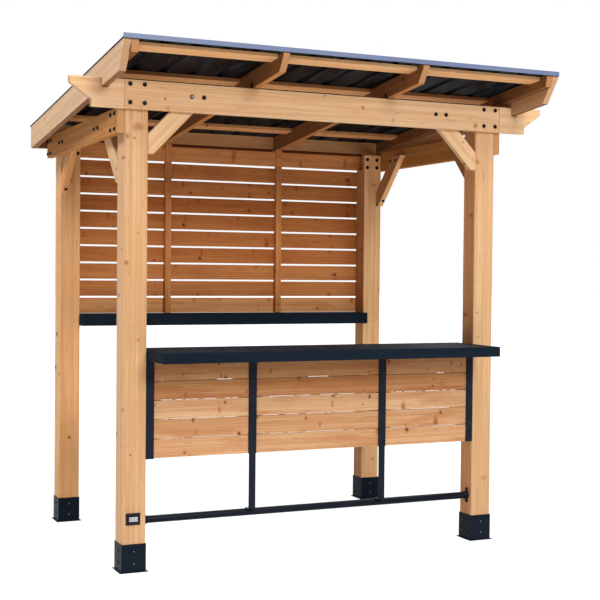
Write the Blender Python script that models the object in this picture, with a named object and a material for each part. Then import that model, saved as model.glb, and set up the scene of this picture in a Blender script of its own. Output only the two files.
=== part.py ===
"""Cedar outdoor bar with a sloping steel roof, a bar counter, a back wall and a back shelf.

Lengths are metres and +Z is up. The pieces are laid out in bar coordinates: X across the
bar from its middle, Y backwards from the front faces of the front posts, and Z up from the
ground. An empty then carries them all to the middle of the footprint.
"""

import math

import bmesh
import bpy
from mathutils import Matrix, Vector

# Clearance between pieces that touch
GAP = 0.0003

# Posts and their steel shoes
POST = 0.118
POST_OUTER_X = 1.0395
POST_REAR_Y = 1.427
POST_CHAMFER = 0.005
SHOE_WALL = 0.0022
SHOE_HEIGHT = 0.137
SHOE_PLATE = 0.003
SHOE_PLATE_RIM = 0.009

# Front beam, its tails and the side beams
BEAM_THICK = 0.0335
BEAM_BOTTOM = 2.223
BEAM_HEIGHT = 0.138
BEAM_OVER = 0.009
TAIL_TIP_X = 1.313
TAIL_TIP_HEIGHT = 0.032
TAIL_STEP_X = 1.210
TAIL_STEP_HEIGHT = 0.035
SIDE_BEAM_BOTTOM = 2.108
SIDE_BEAM_HEIGHT = 0.123
SIDE_BEAM_TAIL = 0.073

# Rear posts and the top board let into them
REAR_POST_TOP = 2.209
REAR_NOTCH_DEPTH = 0.081
REAR_BEAM_THICK = 0.022
REAR_BEAM_HEIGHT = 0.0895

# Corner braces
BRACE_THICK = 0.035
BRACE_WIDTH = 0.086
BRACE_ANGLE = math.radians(46.0)
BRACE_TOE = 0.028
FRONT_BRACE_DROP = 0.207
FRONT_BRACE_LAP = 0.105
SIDE_BRACE_DROP = 0.226
SIDE_BRACE_LAP = 0.078

# Roof slope and timbers
SLOPE = 0.098
RAFTER_THICK = 0.035
RAFTER_DEPTH = 0.0875
RAFTER_X = 0.3755
RAFTER_NOSE = 0.020
RAFTER_FRONT_CUT = math.radians(40.0)
EDGE_RAFTER_DEPTH = 0.064
EDGE_RAFTER_CUT = math.radians(14.0)
BARGE_THICK = 0.034
BARGE_DEPTH = 0.132
BARGE_OUTER_X = 1.1600
SLOT_CLEARANCE = 0.0008
ROOF_FRONT = -0.4135
RAFTER_SETBACK = 0.0065
TIMBER_REAR = 1.545
PURLIN_THICK = 0.019
PURLIN_WIDTH = 0.089
PURLIN_1_FRONT = -0.347
PURLIN_2_FRONT = 0.145
PURLIN_3_FRONT = 0.667
PURLIN_4_FRONT = 1.188
BLOCKING_FRONT = 1.477
BLOCKING_THICK = 0.019
FASCIA_THICK = 0.035
FASCIA_BOTTOM = 2.166

# Roof sheet and its edge trims
SHEET_THICK = 0.0012
SHEET_INSET = 0.0115
SHEET_REAR = 1.565
RIB_COUNT = 16
RIB_EDGE = 0.04675
RIB_BASE = 0.044
RIB_CREST = 0.020
RIB_HEIGHT = 0.0125
TRIM_THICK = 0.0012
FRONT_TRIM_HEIGHT = 0.028
FRONT_TRIM_LAP = 0.060
SIDE_TRIM_DROP = 0.017
SIDE_TRIM_LAP = 0.034

# Rear slatted wall and its studs
SLAT_COUNT = 9
SLAT_HEIGHT = 0.0895
SLAT_THICK = 0.018
SLAT_GAP = 0.012
SLAT_BOTTOM = 1.2012
SLAT_INSET = 0.012
STUD_X = 0.362
STUD_WIDTH = 0.036
STUD_DEPTH = 0.036
WELD = 0.0005

# Rear shelf, folded from sheet steel
SHELF_TOP = 1.2005
SHELF_FRONT = 1.250
SHELF_APRON = 0.0675
FOLD_THICK = 0.002

# Counter, folded from sheet steel
COUNTER_TOP = 1.073
COUNTER_FRONT = -0.264
COUNTER_REAR = 0.164
COUNTER_APRON = 0.051
FOLD_RADIUS = 0.0015

# Counter front: steel uprights and boarded panels between them
UPRIGHT_X = 0.367
UPRIGHT_WIDTH = 0.0415
UPRIGHT_DEPTH = 0.041
EDGE_UPRIGHT_WIDTH = 0.039
UPRIGHT_DROP = 0.002
LEG_WIDTH = 0.036
LEG_THICK = 0.003
LEG_SETBACK = 0.001
LEG_BEND = 0.008
LEG_FOOT_REACH = 0.005
SADDLE_DEPTH = 0.008
SADDLE_LIFT = 0.001
PANEL_BOTTOM = 0.545
PANEL_BOARDS = 5
BOARD_HEIGHT = 0.0903
BOARD_GAP = 0.004
BOARD_THICK = 0.018
BOARD_SETBACK = 0.006
GROOVE_DEPTH = 0.008
BATTEN_WIDTH = 0.040
BATTEN_THICK = 0.018
BATTEN_INSET = 0.004

# Foot rail and the flanges at its ends
RAIL_RADIUS = 0.0183
RAIL_Y = 0.046
RAIL_Z = 0.2425
RAIL_SIDES = 24
FLANGE_THICK = 0.004
FLANGE_LENGTH = 0.081
FLANGE_WIDTH = 0.024
COLLAR_RADIUS = 0.0212
COLLAR_LENGTH = 0.018

# Outlet plate on the front left post
PLATE_WIDTH = 0.071
PLATE_HEIGHT = 0.057
PLATE_THICK = 0.011
PLATE_BEVEL = 0.007
PLATE_X = -0.985
PLATE_Z = 0.2585
PLATE_WINDOW_WIDTH = 0.047
PLATE_WINDOW_HEIGHT = 0.031
PLATE_RECESS = 0.002

# Easing of the timber and panel edges
TIMBER_EASE = 0.0025
BOARD_EASE = 0.0015

# Places that follow from the sizes above
POST_INNER_X = POST_OUTER_X - POST
REAR_POST_FRONT = POST_REAR_Y - POST
BEAM_TOP = BEAM_BOTTOM + BEAM_HEIGHT
BEAM_FRONT = -GAP - BEAM_THICK
BEAM_END_X = POST_OUTER_X + BEAM_OVER
SIDE_BEAM_INNER_X = POST_OUTER_X + GAP
SIDE_BEAM_OUTER_X = SIDE_BEAM_INNER_X + BEAM_THICK
SIDE_BEAM_TOP = SIDE_BEAM_BOTTOM + SIDE_BEAM_HEIGHT
FRONT_BRACE_FOOT = BEAM_BOTTOM - FRONT_BRACE_DROP
SIDE_BRACE_FOOT = SIDE_BEAM_BOTTOM - SIDE_BRACE_DROP
BARGE_INNER_X = BARGE_OUTER_X - BARGE_THICK
EDGE_RAFTER_OUTER_X = BARGE_INNER_X - GAP
EDGE_RAFTER_INNER_X = EDGE_RAFTER_OUTER_X - RAFTER_THICK
TIMBER_FRONT = ROOF_FRONT + RAFTER_SETBACK
FASCIA_FRONT = TIMBER_REAR - FASCIA_THICK
STEEPNESS = math.hypot(1.0, SLOPE)
SLAT_END_X = POST_OUTER_X - SLAT_INSET
REAR_BEAM_BOTTOM = SLAT_BOTTOM + SLAT_COUNT * (SLAT_HEIGHT + SLAT_GAP)
REAR_BEAM_FRONT = POST_REAR_Y - REAR_BEAM_THICK
SHEET_LIFT = GAP
SHEET_HALF_WIDTH = BARGE_OUTER_X - SHEET_INSET
RIB_PITCH = 2 * (SHEET_HALF_WIDTH - RIB_EDGE) / (RIB_COUNT - 1)
PURLIN_FRONTS = (PURLIN_1_FRONT, PURLIN_2_FRONT, PURLIN_3_FRONT, PURLIN_4_FRONT)
UPRIGHT_TOP = COUNTER_TOP - FOLD_THICK - GAP
EDGE_UPRIGHT_TOP = COUNTER_TOP - COUNTER_APRON - GAP
UPRIGHT_BOTTOM = PANEL_BOTTOM - UPRIGHT_DROP
LEG_FOOT_Z = RAIL_Z + RAIL_RADIUS + GAP + SADDLE_LIFT

SIDES = (("left", -1.0), ("right", 1.0))

# Base colour, roughness and metallic value of each finish
FINISHES = {
    "cedar": ((0.66, 0.42, 0.22), 0.62, 0.0),
    "shaded_cedar": ((0.42, 0.20, 0.09), 0.66, 0.0),
    "black_steel": ((0.018, 0.022, 0.030), 0.42, 0.6),
    "roof_steel": ((0.022, 0.024, 0.028), 0.45, 0.7),
    "trim_steel": ((0.16, 0.20, 0.38), 0.40, 0.6),
    "black_plastic": ((0.020, 0.020, 0.022), 0.38, 0.0),
}


def clear_scene():
    """Remove every object that is in the scene."""
    for item in list(bpy.data.objects):
        bpy.data.objects.remove(item, do_unlink=True)


def make_material(name, finish):
    """Return a new Principled material with the colour and gloss of a finish."""
    colour, roughness, metallic = FINISHES[finish]
    material = bpy.data.materials.new(name + "_" + finish)
    material.use_nodes = True
    shader = material.node_tree.nodes["Principled BSDF"]
    shader.inputs["Base Color"].default_value = (*colour, 1.0)
    shader.inputs["Roughness"].default_value = roughness
    shader.inputs["Metallic"].default_value = metallic
    material.diffuse_color = (*colour, 1.0)
    return material


def make_object(name, bm, finish):
    """Turn a bmesh into a named object that stands in the bar's own frame."""
    bmesh.ops.recalc_face_normals(bm, faces=bm.faces)
    mesh = bpy.data.meshes.new(name)
    bm.to_mesh(mesh)
    bm.free()
    item = bpy.data.objects.new(name, mesh)
    item.data.materials.append(make_material(name, finish))
    item.parent = FRAME
    bpy.context.scene.collection.objects.link(item)
    return item


def make_cutter(name, bm):
    """Turn a bmesh into a guide object that only shapes other pieces."""
    cutter = make_object(name, bm, "cedar")
    cutter.hide_render = True
    cutter.display_type = "WIRE"
    return cutter


def add_box(bm, x, y, z):
    """Add a box between the two values given along each axis."""
    sizes = (x[1] - x[0], y[1] - y[0], z[1] - z[0])
    middle = Vector(((x[0] + x[1]) / 2, (y[0] + y[1]) / 2, (z[0] + z[1]) / 2))
    placing = Matrix.Translation(middle) @ Matrix.Diagonal((*sizes, 1.0))
    return bmesh.ops.create_cube(bm, size=1.0, matrix=placing)["verts"]


def add_prism(bm, outline, travel):
    """Add a closed outline of 3D points, extruded along a vector."""
    corners = [bm.verts.new(point) for point in outline]
    face = bm.faces.new(corners)
    extruded = bmesh.ops.extrude_face_region(bm, geom=[face])
    moved = [item for item in extruded["geom"] if isinstance(item, bmesh.types.BMVert)]
    bmesh.ops.translate(bm, verts=moved, vec=travel)


def add_cylinder(bm, radius, start, end, sides):
    """Add a capped cylinder between two points."""
    start = Vector(start)
    axis = Vector(end) - start
    turn = axis.to_track_quat("Z", "Y").to_matrix().to_4x4()
    placing = Matrix.Translation(start + axis / 2) @ turn
    bmesh.ops.create_cone(
        bm, cap_ends=True, segments=sides, radius1=radius, radius2=radius,
        depth=axis.length, matrix=placing)


def profile_along_x(points, x_start):
    """Place an outline given as (y, z) pairs in the plane x = x_start."""
    return [(x_start, y, z) for y, z in points]


def profile_along_y(points, y_start):
    """Place an outline given as (x, z) pairs in the plane y = y_start."""
    return [(x, y_start, z) for x, z in points]


def ease(item, width):
    """Take the sharp arrises off a piece with a small flat chamfer."""
    bevel = item.modifiers.new("eased_edges", "BEVEL")
    bevel.width = width
    bevel.segments = 1
    bevel.limit_method = "ANGLE"
    bevel.angle_limit = math.radians(40.0)
    bevel.use_clamp_overlap = True
    return item


def cut(item, cutter, operation="DIFFERENCE"):
    """Shape a piece with a guide object through an exact Boolean."""
    boolean = item.modifiers.new(cutter.name, "BOOLEAN")
    boolean.solver = "EXACT"
    boolean.operation = operation
    boolean.object = cutter
    return item


def box_piece(name, x, y, z, finish, easing):
    """Make a straight piece of square section."""
    bm = bmesh.new()
    add_box(bm, x, y, z)
    return ease(make_object(name, bm, finish), easing)


def mirrored(side, near, far):
    """Return two X values in rising order, mirrored to the given side."""
    return tuple(sorted((side * near, side * far)))


def rafter_underside(y):
    """Height of the main rafters' lower edges at a distance back from the front."""
    return BEAM_TOP + GAP - SLOPE * y


def roof_plane(y):
    """Height of the plane that the rafters' upper edges share."""
    return rafter_underside(y) + RAFTER_DEPTH * STEEPNESS


def build_posts():
    """Four square posts; the rear pair is notched for the top board."""
    for side_name, side in SIDES:
        across = mirrored(side, POST_INNER_X, POST_OUTER_X)
        box_piece(
            "post_front_" + side_name, across, (0.0, POST),
            (SHOE_PLATE + GAP, BEAM_TOP), "cedar", POST_CHAMFER)
        rear = box_piece(
            "post_rear_" + side_name, across, (REAR_POST_FRONT, POST_REAR_Y),
            (SHOE_PLATE + GAP, REAR_POST_TOP), "cedar", POST_CHAMFER)
        notch = bmesh.new()
        add_box(
            notch, mirrored(side, POST_INNER_X - POST, POST_OUTER_X + POST),
            (POST_REAR_Y - REAR_NOTCH_DEPTH, POST_REAR_Y + POST),
            (REAR_BEAM_BOTTOM - GAP, REAR_POST_TOP + POST))
        cut(rear, make_cutter("notch_rear_" + side_name, notch))


def build_shoes():
    """Steel sleeves round the posts' feet, each on a thin base plate."""
    inner = POST / 2 + GAP
    outer = inner + SHOE_WALL
    rim = outer + SHOE_PLATE_RIM
    for side_name, side in SIDES:
        middle_x = side * (POST_OUTER_X - POST / 2)
        for end_name, middle_y in (("front", POST / 2), ("rear", POST_REAR_Y - POST / 2)):
            bm = bmesh.new()
            add_box(
                bm, (middle_x - outer, middle_x + outer), (middle_y - outer, middle_y + outer),
                (SHOE_PLATE / 2, SHOE_HEIGHT))
            shoe = make_object("shoe_" + end_name + "_" + side_name, bm, "black_steel")
            plate = bmesh.new()
            add_box(
                plate, (middle_x - rim, middle_x + rim), (middle_y - rim, middle_y + rim),
                (0.0, SHOE_PLATE))
            cut(shoe, make_cutter("plate_" + end_name + "_" + side_name, plate), "UNION")
            hollow = bmesh.new()
            add_box(
                hollow, (middle_x - inner, middle_x + inner),
                (middle_y - inner, middle_y + inner), (SHOE_PLATE, 2 * SHOE_HEIGHT))
            cut(shoe, make_cutter("hollow_" + end_name + "_" + side_name, hollow))


def build_front_beam():
    """Front beam on the posts' faces, with a slotted and raked tail at each end."""
    box_piece(
        "front_beam", (-BEAM_END_X, BEAM_END_X), (BEAM_FRONT, -GAP),
        (BEAM_BOTTOM, BEAM_TOP), "cedar", TIMBER_EASE)
    slot_floor = barge_underside(0.0) - GAP
    for side_name, side in SIDES:
        outline = [
            (side * (BEAM_END_X + GAP), BEAM_BOTTOM),
            (side * TAIL_STEP_X, BEAM_BOTTOM),
            (side * TAIL_STEP_X, BEAM_BOTTOM + TAIL_STEP_HEIGHT),
            (side * TAIL_TIP_X, BEAM_TOP - TAIL_TIP_HEIGHT),
            (side * TAIL_TIP_X, BEAM_TOP),
            (side * (BEAM_END_X + GAP), BEAM_TOP),
        ]
        bm = bmesh.new()
        add_prism(bm, profile_along_y(outline, BEAM_FRONT), (0.0, BEAM_THICK, 0.0))
        tail = make_object("beam_tail_" + side_name, bm, "cedar")
        slot = bmesh.new()
        add_box(
            slot,
            mirrored(side, BARGE_INNER_X - SLOT_CLEARANCE, BARGE_OUTER_X + SLOT_CLEARANCE),
            (BEAM_FRONT - BEAM_THICK, BEAM_THICK), (slot_floor, BEAM_TOP + BEAM_HEIGHT))
        cut(tail, make_cutter("slot_" + side_name, slot))
        ease(tail, BOARD_EASE)


def build_side_and_rear_beams():
    """Side beams outside the posts, and the top board in the rear posts' notches."""
    for side_name, side in SIDES:
        box_piece(
            "side_beam_" + side_name, mirrored(side, SIDE_BEAM_INNER_X, SIDE_BEAM_OUTER_X),
            (0.0, POST_REAR_Y + SIDE_BEAM_TAIL),
            (SIDE_BEAM_BOTTOM, SIDE_BEAM_TOP), "cedar", TIMBER_EASE)
    box_piece(
        "rear_beam", (-POST_OUTER_X, POST_OUTER_X), (REAR_BEAM_FRONT, POST_REAR_Y),
        (REAR_BEAM_BOTTOM, REAR_BEAM_BOTTOM + REAR_BEAM_HEIGHT), "shaded_cedar", BOARD_EASE)


def brace_outline(foot, top):
    """Outline of a brace as (reach, z), with reach measured away from the post's face."""
    across = BRACE_WIDTH / math.sin(BRACE_ANGLE)
    rise = math.tan(BRACE_ANGLE)
    heel = foot + (across - BRACE_TOE) * rise
    lower_reach = BRACE_TOE + (top - foot) / rise
    return [
        (GAP, foot),
        (BRACE_TOE, foot),
        (lower_reach, top),
        (lower_reach - across, top),
        (GAP, heel + GAP * rise),
    ]


def build_braces():
    """Two braces behind the front beam and two inside each side beam."""
    front_top = BEAM_BOTTOM + FRONT_BRACE_LAP
    side_top = SIDE_BEAM_BOTTOM + SIDE_BRACE_LAP
    for side_name, side in SIDES:
        outline = [
            (side * (POST_INNER_X - reach), z)
            for reach, z in brace_outline(FRONT_BRACE_FOOT, front_top)
        ]
        bm = bmesh.new()
        add_prism(bm, profile_along_y(outline, 0.0), (0.0, BRACE_THICK, 0.0))
        ease(make_object("front_brace_" + side_name, bm, "cedar"), TIMBER_EASE)
        for end_name, face, away in (("front", POST, 1.0), ("rear", REAR_POST_FRONT, -1.0)):
            outline = [
                (face + away * reach, z)
                for reach, z in brace_outline(SIDE_BRACE_FOOT, side_top)
            ]
            bm = bmesh.new()
            start = side * (POST_OUTER_X - BRACE_THICK)
            add_prism(bm, profile_along_x(outline, start), (side * BRACE_THICK, 0.0, 0.0))
            name = "side_brace_" + end_name + "_" + side_name
            ease(make_object(name, bm, "cedar"), TIMBER_EASE)


def barge_underside(y):
    """Height of the barge boards' lower edges."""
    return roof_plane(y) - BARGE_DEPTH


def sloping_outline(depth, front_cut, rear):
    """Outline of a rafter as (y, z): plumb nose, raked front cut and plumb rear end."""
    nose = RAFTER_NOSE
    lean = math.tan(front_cut)
    heel = (TIMBER_FRONT * (1.0 + SLOPE * lean) + (depth - nose) * lean)
    heel = heel / (1.0 + SLOPE * lean)
    return [
        (TIMBER_FRONT, roof_plane(TIMBER_FRONT)),
        (TIMBER_FRONT, roof_plane(TIMBER_FRONT) - nose),
        (heel, roof_plane(heel) - depth),
        (rear, roof_plane(rear) - depth),
        (rear, roof_plane(rear)),
    ]


def build_rafters():
    """Two main rafters, two shallow edge rafters and the barge boards outside them."""
    rear = FASCIA_FRONT - GAP
    upright_depth = STEEPNESS * RAFTER_DEPTH
    for side_name, side in SIDES:
        pieces = (
            ("rafter_", RAFTER_X - RAFTER_THICK / 2, RAFTER_THICK, upright_depth,
             RAFTER_FRONT_CUT, rear),
            ("edge_rafter_", EDGE_RAFTER_INNER_X, RAFTER_THICK, EDGE_RAFTER_DEPTH,
             EDGE_RAFTER_CUT, rear),
            ("barge_board_", BARGE_INNER_X, BARGE_THICK, BARGE_DEPTH,
             RAFTER_FRONT_CUT, TIMBER_REAR),
        )
        for name, inner, thick, depth, front_cut, end in pieces:
            bm = bmesh.new()
            outline = sloping_outline(depth, front_cut, end)
            add_prism(bm, profile_along_x(outline, side * inner), (side * thick, 0.0, 0.0))
            ease(make_object(name + side_name, bm, "cedar"), BOARD_EASE)


def roof_bays():
    """Names and X limits of the three bays between the rafters."""
    inner = RAFTER_X - RAFTER_THICK / 2 - GAP
    outer = RAFTER_X + RAFTER_THICK / 2 + GAP
    edge = EDGE_RAFTER_INNER_X - GAP
    return (("left", -edge, -outer), ("middle", -inner, inner), ("right", outer, edge))


def build_purlins_and_blocking():
    """Flat purlins under the sheet, upright blocking and the rear fascia."""
    run = PURLIN_WIDTH / STEEPNESS
    for bay_name, start, end in roof_bays():
        for row, front in enumerate(PURLIN_FRONTS, start=1):
            rear = front + run
            outline = [
                (front, roof_plane(front)),
                (front, roof_plane(front) - PURLIN_THICK),
                (rear, roof_plane(rear) - PURLIN_THICK),
                (rear, roof_plane(rear)),
            ]
            bm = bmesh.new()
            add_prism(bm, profile_along_x(outline, start), (end - start, 0.0, 0.0))
            name = "purlin_" + str(row) + "_" + bay_name
            ease(make_object(name, bm, "shaded_cedar"), BOARD_EASE)
        rear = BLOCKING_FRONT + BLOCKING_THICK
        bottom = SIDE_BEAM_TOP + GAP
        outline = [
            (BLOCKING_FRONT, bottom),
            (rear, bottom),
            (rear, roof_plane(rear)),
            (BLOCKING_FRONT, roof_plane(BLOCKING_FRONT)),
        ]
        bm = bmesh.new()
        add_prism(bm, profile_along_x(outline, start), (end - start, 0.0, 0.0))
        ease(make_object("blocking_" + bay_name, bm, "shaded_cedar"), BOARD_EASE)
    outline = [
        (FASCIA_FRONT, FASCIA_BOTTOM),
        (TIMBER_REAR, FASCIA_BOTTOM),
        (TIMBER_REAR, roof_plane(TIMBER_REAR)),
        (FASCIA_FRONT, roof_plane(FASCIA_FRONT)),
    ]
    half = BARGE_INNER_X - GAP
    bm = bmesh.new()
    add_prism(bm, profile_along_x(outline, -half), (2 * half, 0.0, 0.0))
    ease(make_object("rear_fascia", bm, "cedar"), BOARD_EASE)


def rib_profile():
    """Cross-section of the roof sheet as (x, height over the pan) from edge to edge."""
    points = [(-SHEET_HALF_WIDTH, 0.0)]
    first = -RIB_PITCH * (RIB_COUNT - 1) / 2
    for index in range(RIB_COUNT):
        middle = first + index * RIB_PITCH
        points.append((middle - RIB_BASE / 2, 0.0))
        points.append((middle - RIB_CREST / 2, RIB_HEIGHT))
        points.append((middle + RIB_CREST / 2, RIB_HEIGHT))
        points.append((middle + RIB_BASE / 2, 0.0))
    points.append((SHEET_HALF_WIDTH, 0.0))
    return points


def build_roof_sheet():
    """Ribbed steel sheet: an open profile drawn down the slope, then thickened."""
    front = ROOF_FRONT + TRIM_THICK + GAP
    bm = bmesh.new()
    verts = [bm.verts.new((x, front, roof_plane(front) + SHEET_LIFT + h)) for x, h in rib_profile()]
    edges = [bm.edges.new(pair) for pair in zip(verts, verts[1:])]
    extruded = bmesh.ops.extrude_edge_only(bm, edges=edges)
    moved = [item for item in extruded["geom"] if isinstance(item, bmesh.types.BMVert)]
    run = SHEET_REAR - front
    bmesh.ops.translate(bm, verts=moved, vec=(0.0, run, -SLOPE * run))
    sheet = make_object("roof_sheet", bm, "roof_steel")
    if sheet.data.polygons[0].normal.z < 0.0:
        sheet.data.flip_normals()
    solidify = sheet.modifiers.new("sheet_thickness", "SOLIDIFY")
    solidify.thickness = SHEET_THICK
    solidify.offset = 1.0


def build_trims():
    """Folded edge trims: one over the ribs' front ends, one along each side."""
    half = BARGE_OUTER_X + GAP + TRIM_THICK
    crest = SHEET_LIFT + RIB_HEIGHT + SHEET_THICK + GAP
    lap_end = ROOF_FRONT + FRONT_TRIM_LAP
    top = roof_plane(ROOF_FRONT) + crest + TRIM_THICK
    outline = [
        (ROOF_FRONT, top),
        (ROOF_FRONT, top - FRONT_TRIM_HEIGHT),
        (ROOF_FRONT + TRIM_THICK, top - FRONT_TRIM_HEIGHT),
        (ROOF_FRONT + TRIM_THICK, roof_plane(ROOF_FRONT + TRIM_THICK) + crest),
        (lap_end, roof_plane(lap_end) + crest),
        (lap_end, roof_plane(lap_end) + crest + TRIM_THICK),
    ]
    bm = bmesh.new()
    add_prism(bm, profile_along_x(outline, -half), (2 * half, 0.0, 0.0))
    make_object("front_trim", bm, "trim_steel")
    front = ROOF_FRONT + TRIM_THICK + GAP
    run = SHEET_REAR - front
    base = roof_plane(front) + SHEET_LIFT + SHEET_THICK + GAP
    for side_name, side in SIDES:
        outline = [
            (side * half, base + TRIM_THICK),
            (side * (half - SIDE_TRIM_LAP), base + TRIM_THICK),
            (side * (half - SIDE_TRIM_LAP), base),
            (side * (half - TRIM_THICK), base),
            (side * (half - TRIM_THICK), base - SIDE_TRIM_DROP),
            (side * half, base - SIDE_TRIM_DROP),
        ]
        bm = bmesh.new()
        add_prism(bm, profile_along_y(outline, front), (0.0, run, -SLOPE * run))
        make_object("side_trim_" + side_name, bm, "roof_steel")


def build_rear_wall():
    """Slatted back wall: nine boards across the posts, joined by two studs."""
    pitch = SLAT_HEIGHT + SLAT_GAP
    front = POST_REAR_Y + GAP
    bm = bmesh.new()
    add_box(
        bm, (-SLAT_END_X, SLAT_END_X), (front, front + SLAT_THICK),
        (SLAT_BOTTOM, SLAT_BOTTOM + SLAT_HEIGHT))
    wall = make_object("rear_wall", bm, "shaded_cedar")
    array = wall.modifiers.new("slat_rows", "ARRAY")
    array.count = SLAT_COUNT
    array.use_relative_offset = False
    array.use_constant_offset = True
    array.constant_offset_displace = (0.0, 0.0, pitch)
    stud_rear = POST_REAR_Y + GAP + WELD
    stud_front = POST_REAR_Y - STUD_DEPTH
    for side_name, side in SIDES:
        outline = [
            (stud_front, SLAT_BOTTOM),
            (stud_rear, SLAT_BOTTOM),
            (stud_rear, REAR_BEAM_BOTTOM - GAP),
            (REAR_BEAM_FRONT - GAP, REAR_BEAM_BOTTOM - GAP),
            (REAR_BEAM_FRONT - GAP, rafter_underside(REAR_BEAM_FRONT) - GAP),
            (stud_front, rafter_underside(stud_front) - GAP),
        ]
        start = side * STUD_X - STUD_WIDTH / 2
        stud = bmesh.new()
        add_prism(stud, profile_along_x(outline, start), (STUD_WIDTH, 0.0, 0.0))
        cut(wall, make_cutter("stud_" + side_name, stud), "UNION")


def folded_pan(name, x, y, z):
    """Make a tray of folded sheet, closed on top and at its edges and open below."""
    bm = bmesh.new()
    add_box(bm, x, y, z)
    folds = [edge for edge in bm.edges if max(vert.co.z for vert in edge.verts) > (z[0] + z[1]) / 2]
    bmesh.ops.bevel(
        bm, geom=folds, offset=FOLD_RADIUS, segments=2, profile=0.5, affect="EDGES", material=-1)
    pan = make_object(name, bm, "black_steel")
    hollow = bmesh.new()
    add_box(
        hollow, (x[0] + FOLD_THICK, x[1] - FOLD_THICK), (y[0] + FOLD_THICK, y[1] - FOLD_THICK),
        (z[0] - (z[1] - z[0]), z[1] - FOLD_THICK))
    return cut(pan, make_cutter(name + "_hollow", hollow))


def build_counter_and_shelf():
    """Bar counter between the front posts and back shelf between the rear posts."""
    half = POST_INNER_X - GAP
    folded_pan(
        "counter_top", (-half, half), (COUNTER_FRONT, COUNTER_REAR),
        (COUNTER_TOP - COUNTER_APRON, COUNTER_TOP))
    folded_pan(
        "rear_shelf", (-half, half), (SHELF_FRONT, POST_REAR_Y),
        (SHELF_TOP - SHELF_APRON, SHELF_TOP))


def groove_range():
    """Front and rear limits of the groove that takes the panel boards' ends."""
    return (BOARD_SETBACK - GAP, BOARD_SETBACK + BOARD_THICK + GAP)


def build_uprights():
    """Steel uprights with grooves for the boards; the middle pair stands on the rail."""
    groove_front, groove_rear = groove_range()
    depth = UPRIGHT_DEPTH
    for side_name, side in SIDES:
        outer = POST_INNER_X - GAP
        inner = outer - EDGE_UPRIGHT_WIDTH
        outline = [
            (side * outer, 0.0),
            (side * inner, 0.0),
            (side * inner, groove_front),
            (side * (inner + GROOVE_DEPTH), groove_front),
            (side * (inner + GROOVE_DEPTH), groove_rear),
            (side * inner, groove_rear),
            (side * inner, depth),
            (side * outer, depth),
        ]
        bm = bmesh.new()
        add_prism(
            bm, [(x, y, UPRIGHT_BOTTOM) for x, y in outline],
            (0.0, 0.0, EDGE_UPRIGHT_TOP - UPRIGHT_BOTTOM))
        make_object("edge_upright_" + side_name, bm, "black_steel")
        build_middle_upright("upright_" + side_name, side * UPRIGHT_X)


def leg_outline():
    """Outline of a leg as (y, z): a flat bar that bends back over the foot rail."""
    front = LEG_SETBACK
    back = front + LEG_THICK
    turn_y = front + LEG_BEND
    turn_z = LEG_FOOT_Z + LEG_BEND
    end = RAIL_Y + LEG_FOOT_REACH
    points = [(back, UPRIGHT_BOTTOM + WELD), (front, UPRIGHT_BOTTOM + WELD)]
    for step in range(5):
        angle = math.radians(22.5 * step)
        points.append((turn_y - LEG_BEND * math.cos(angle), turn_z - LEG_BEND * math.sin(angle)))
    points.append((end, LEG_FOOT_Z))
    points.append((end, LEG_FOOT_Z + LEG_THICK))
    inner = LEG_BEND - LEG_THICK
    for step in range(4, -1, -1):
        angle = math.radians(22.5 * step)
        points.append((turn_y - inner * math.cos(angle), turn_z - inner * math.sin(angle)))
    return points


def build_middle_upright(name, middle):
    """One grooved upright with a bent leg and a saddle that is coped over the foot rail."""
    groove_front, groove_rear = groove_range()
    half = UPRIGHT_WIDTH / 2
    neck = half - GROOVE_DEPTH
    outline = [
        (half, 0.0), (half, groove_front), (neck, groove_front), (neck, groove_rear),
        (half, groove_rear), (half, UPRIGHT_DEPTH), (-half, UPRIGHT_DEPTH),
        (-half, groove_rear), (-neck, groove_rear), (-neck, groove_front),
        (-half, groove_front), (-half, 0.0),
    ]
    bm = bmesh.new()
    add_prism(
        bm, [(middle + x, y, UPRIGHT_BOTTOM) for x, y in outline],
        (0.0, 0.0, UPRIGHT_TOP - UPRIGHT_BOTTOM))
    upright = make_object(name, bm, "black_steel")
    leg = bmesh.new()
    start = middle - LEG_WIDTH / 2
    add_prism(leg, profile_along_x(leg_outline(), start), (LEG_WIDTH, 0.0, 0.0))
    cut(upright, make_cutter(name + "_leg", leg), "UNION")
    saddle = bmesh.new()
    add_box(
        saddle, (middle - LEG_WIDTH / 2, middle + LEG_WIDTH / 2),
        (RAIL_Y - SADDLE_DEPTH / 2, RAIL_Y + SADDLE_DEPTH / 2), (RAIL_Z, LEG_FOOT_Z + WELD))
    cut(upright, make_cutter(name + "_saddle", saddle), "UNION")
    cope = bmesh.new()
    add_cylinder(
        cope, RAIL_RADIUS + GAP, (middle - LEG_WIDTH, RAIL_Y, RAIL_Z),
        (middle + LEG_WIDTH, RAIL_Y, RAIL_Z), RAIL_SIDES)
    cut(upright, make_cutter(name + "_cope", cope))


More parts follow.
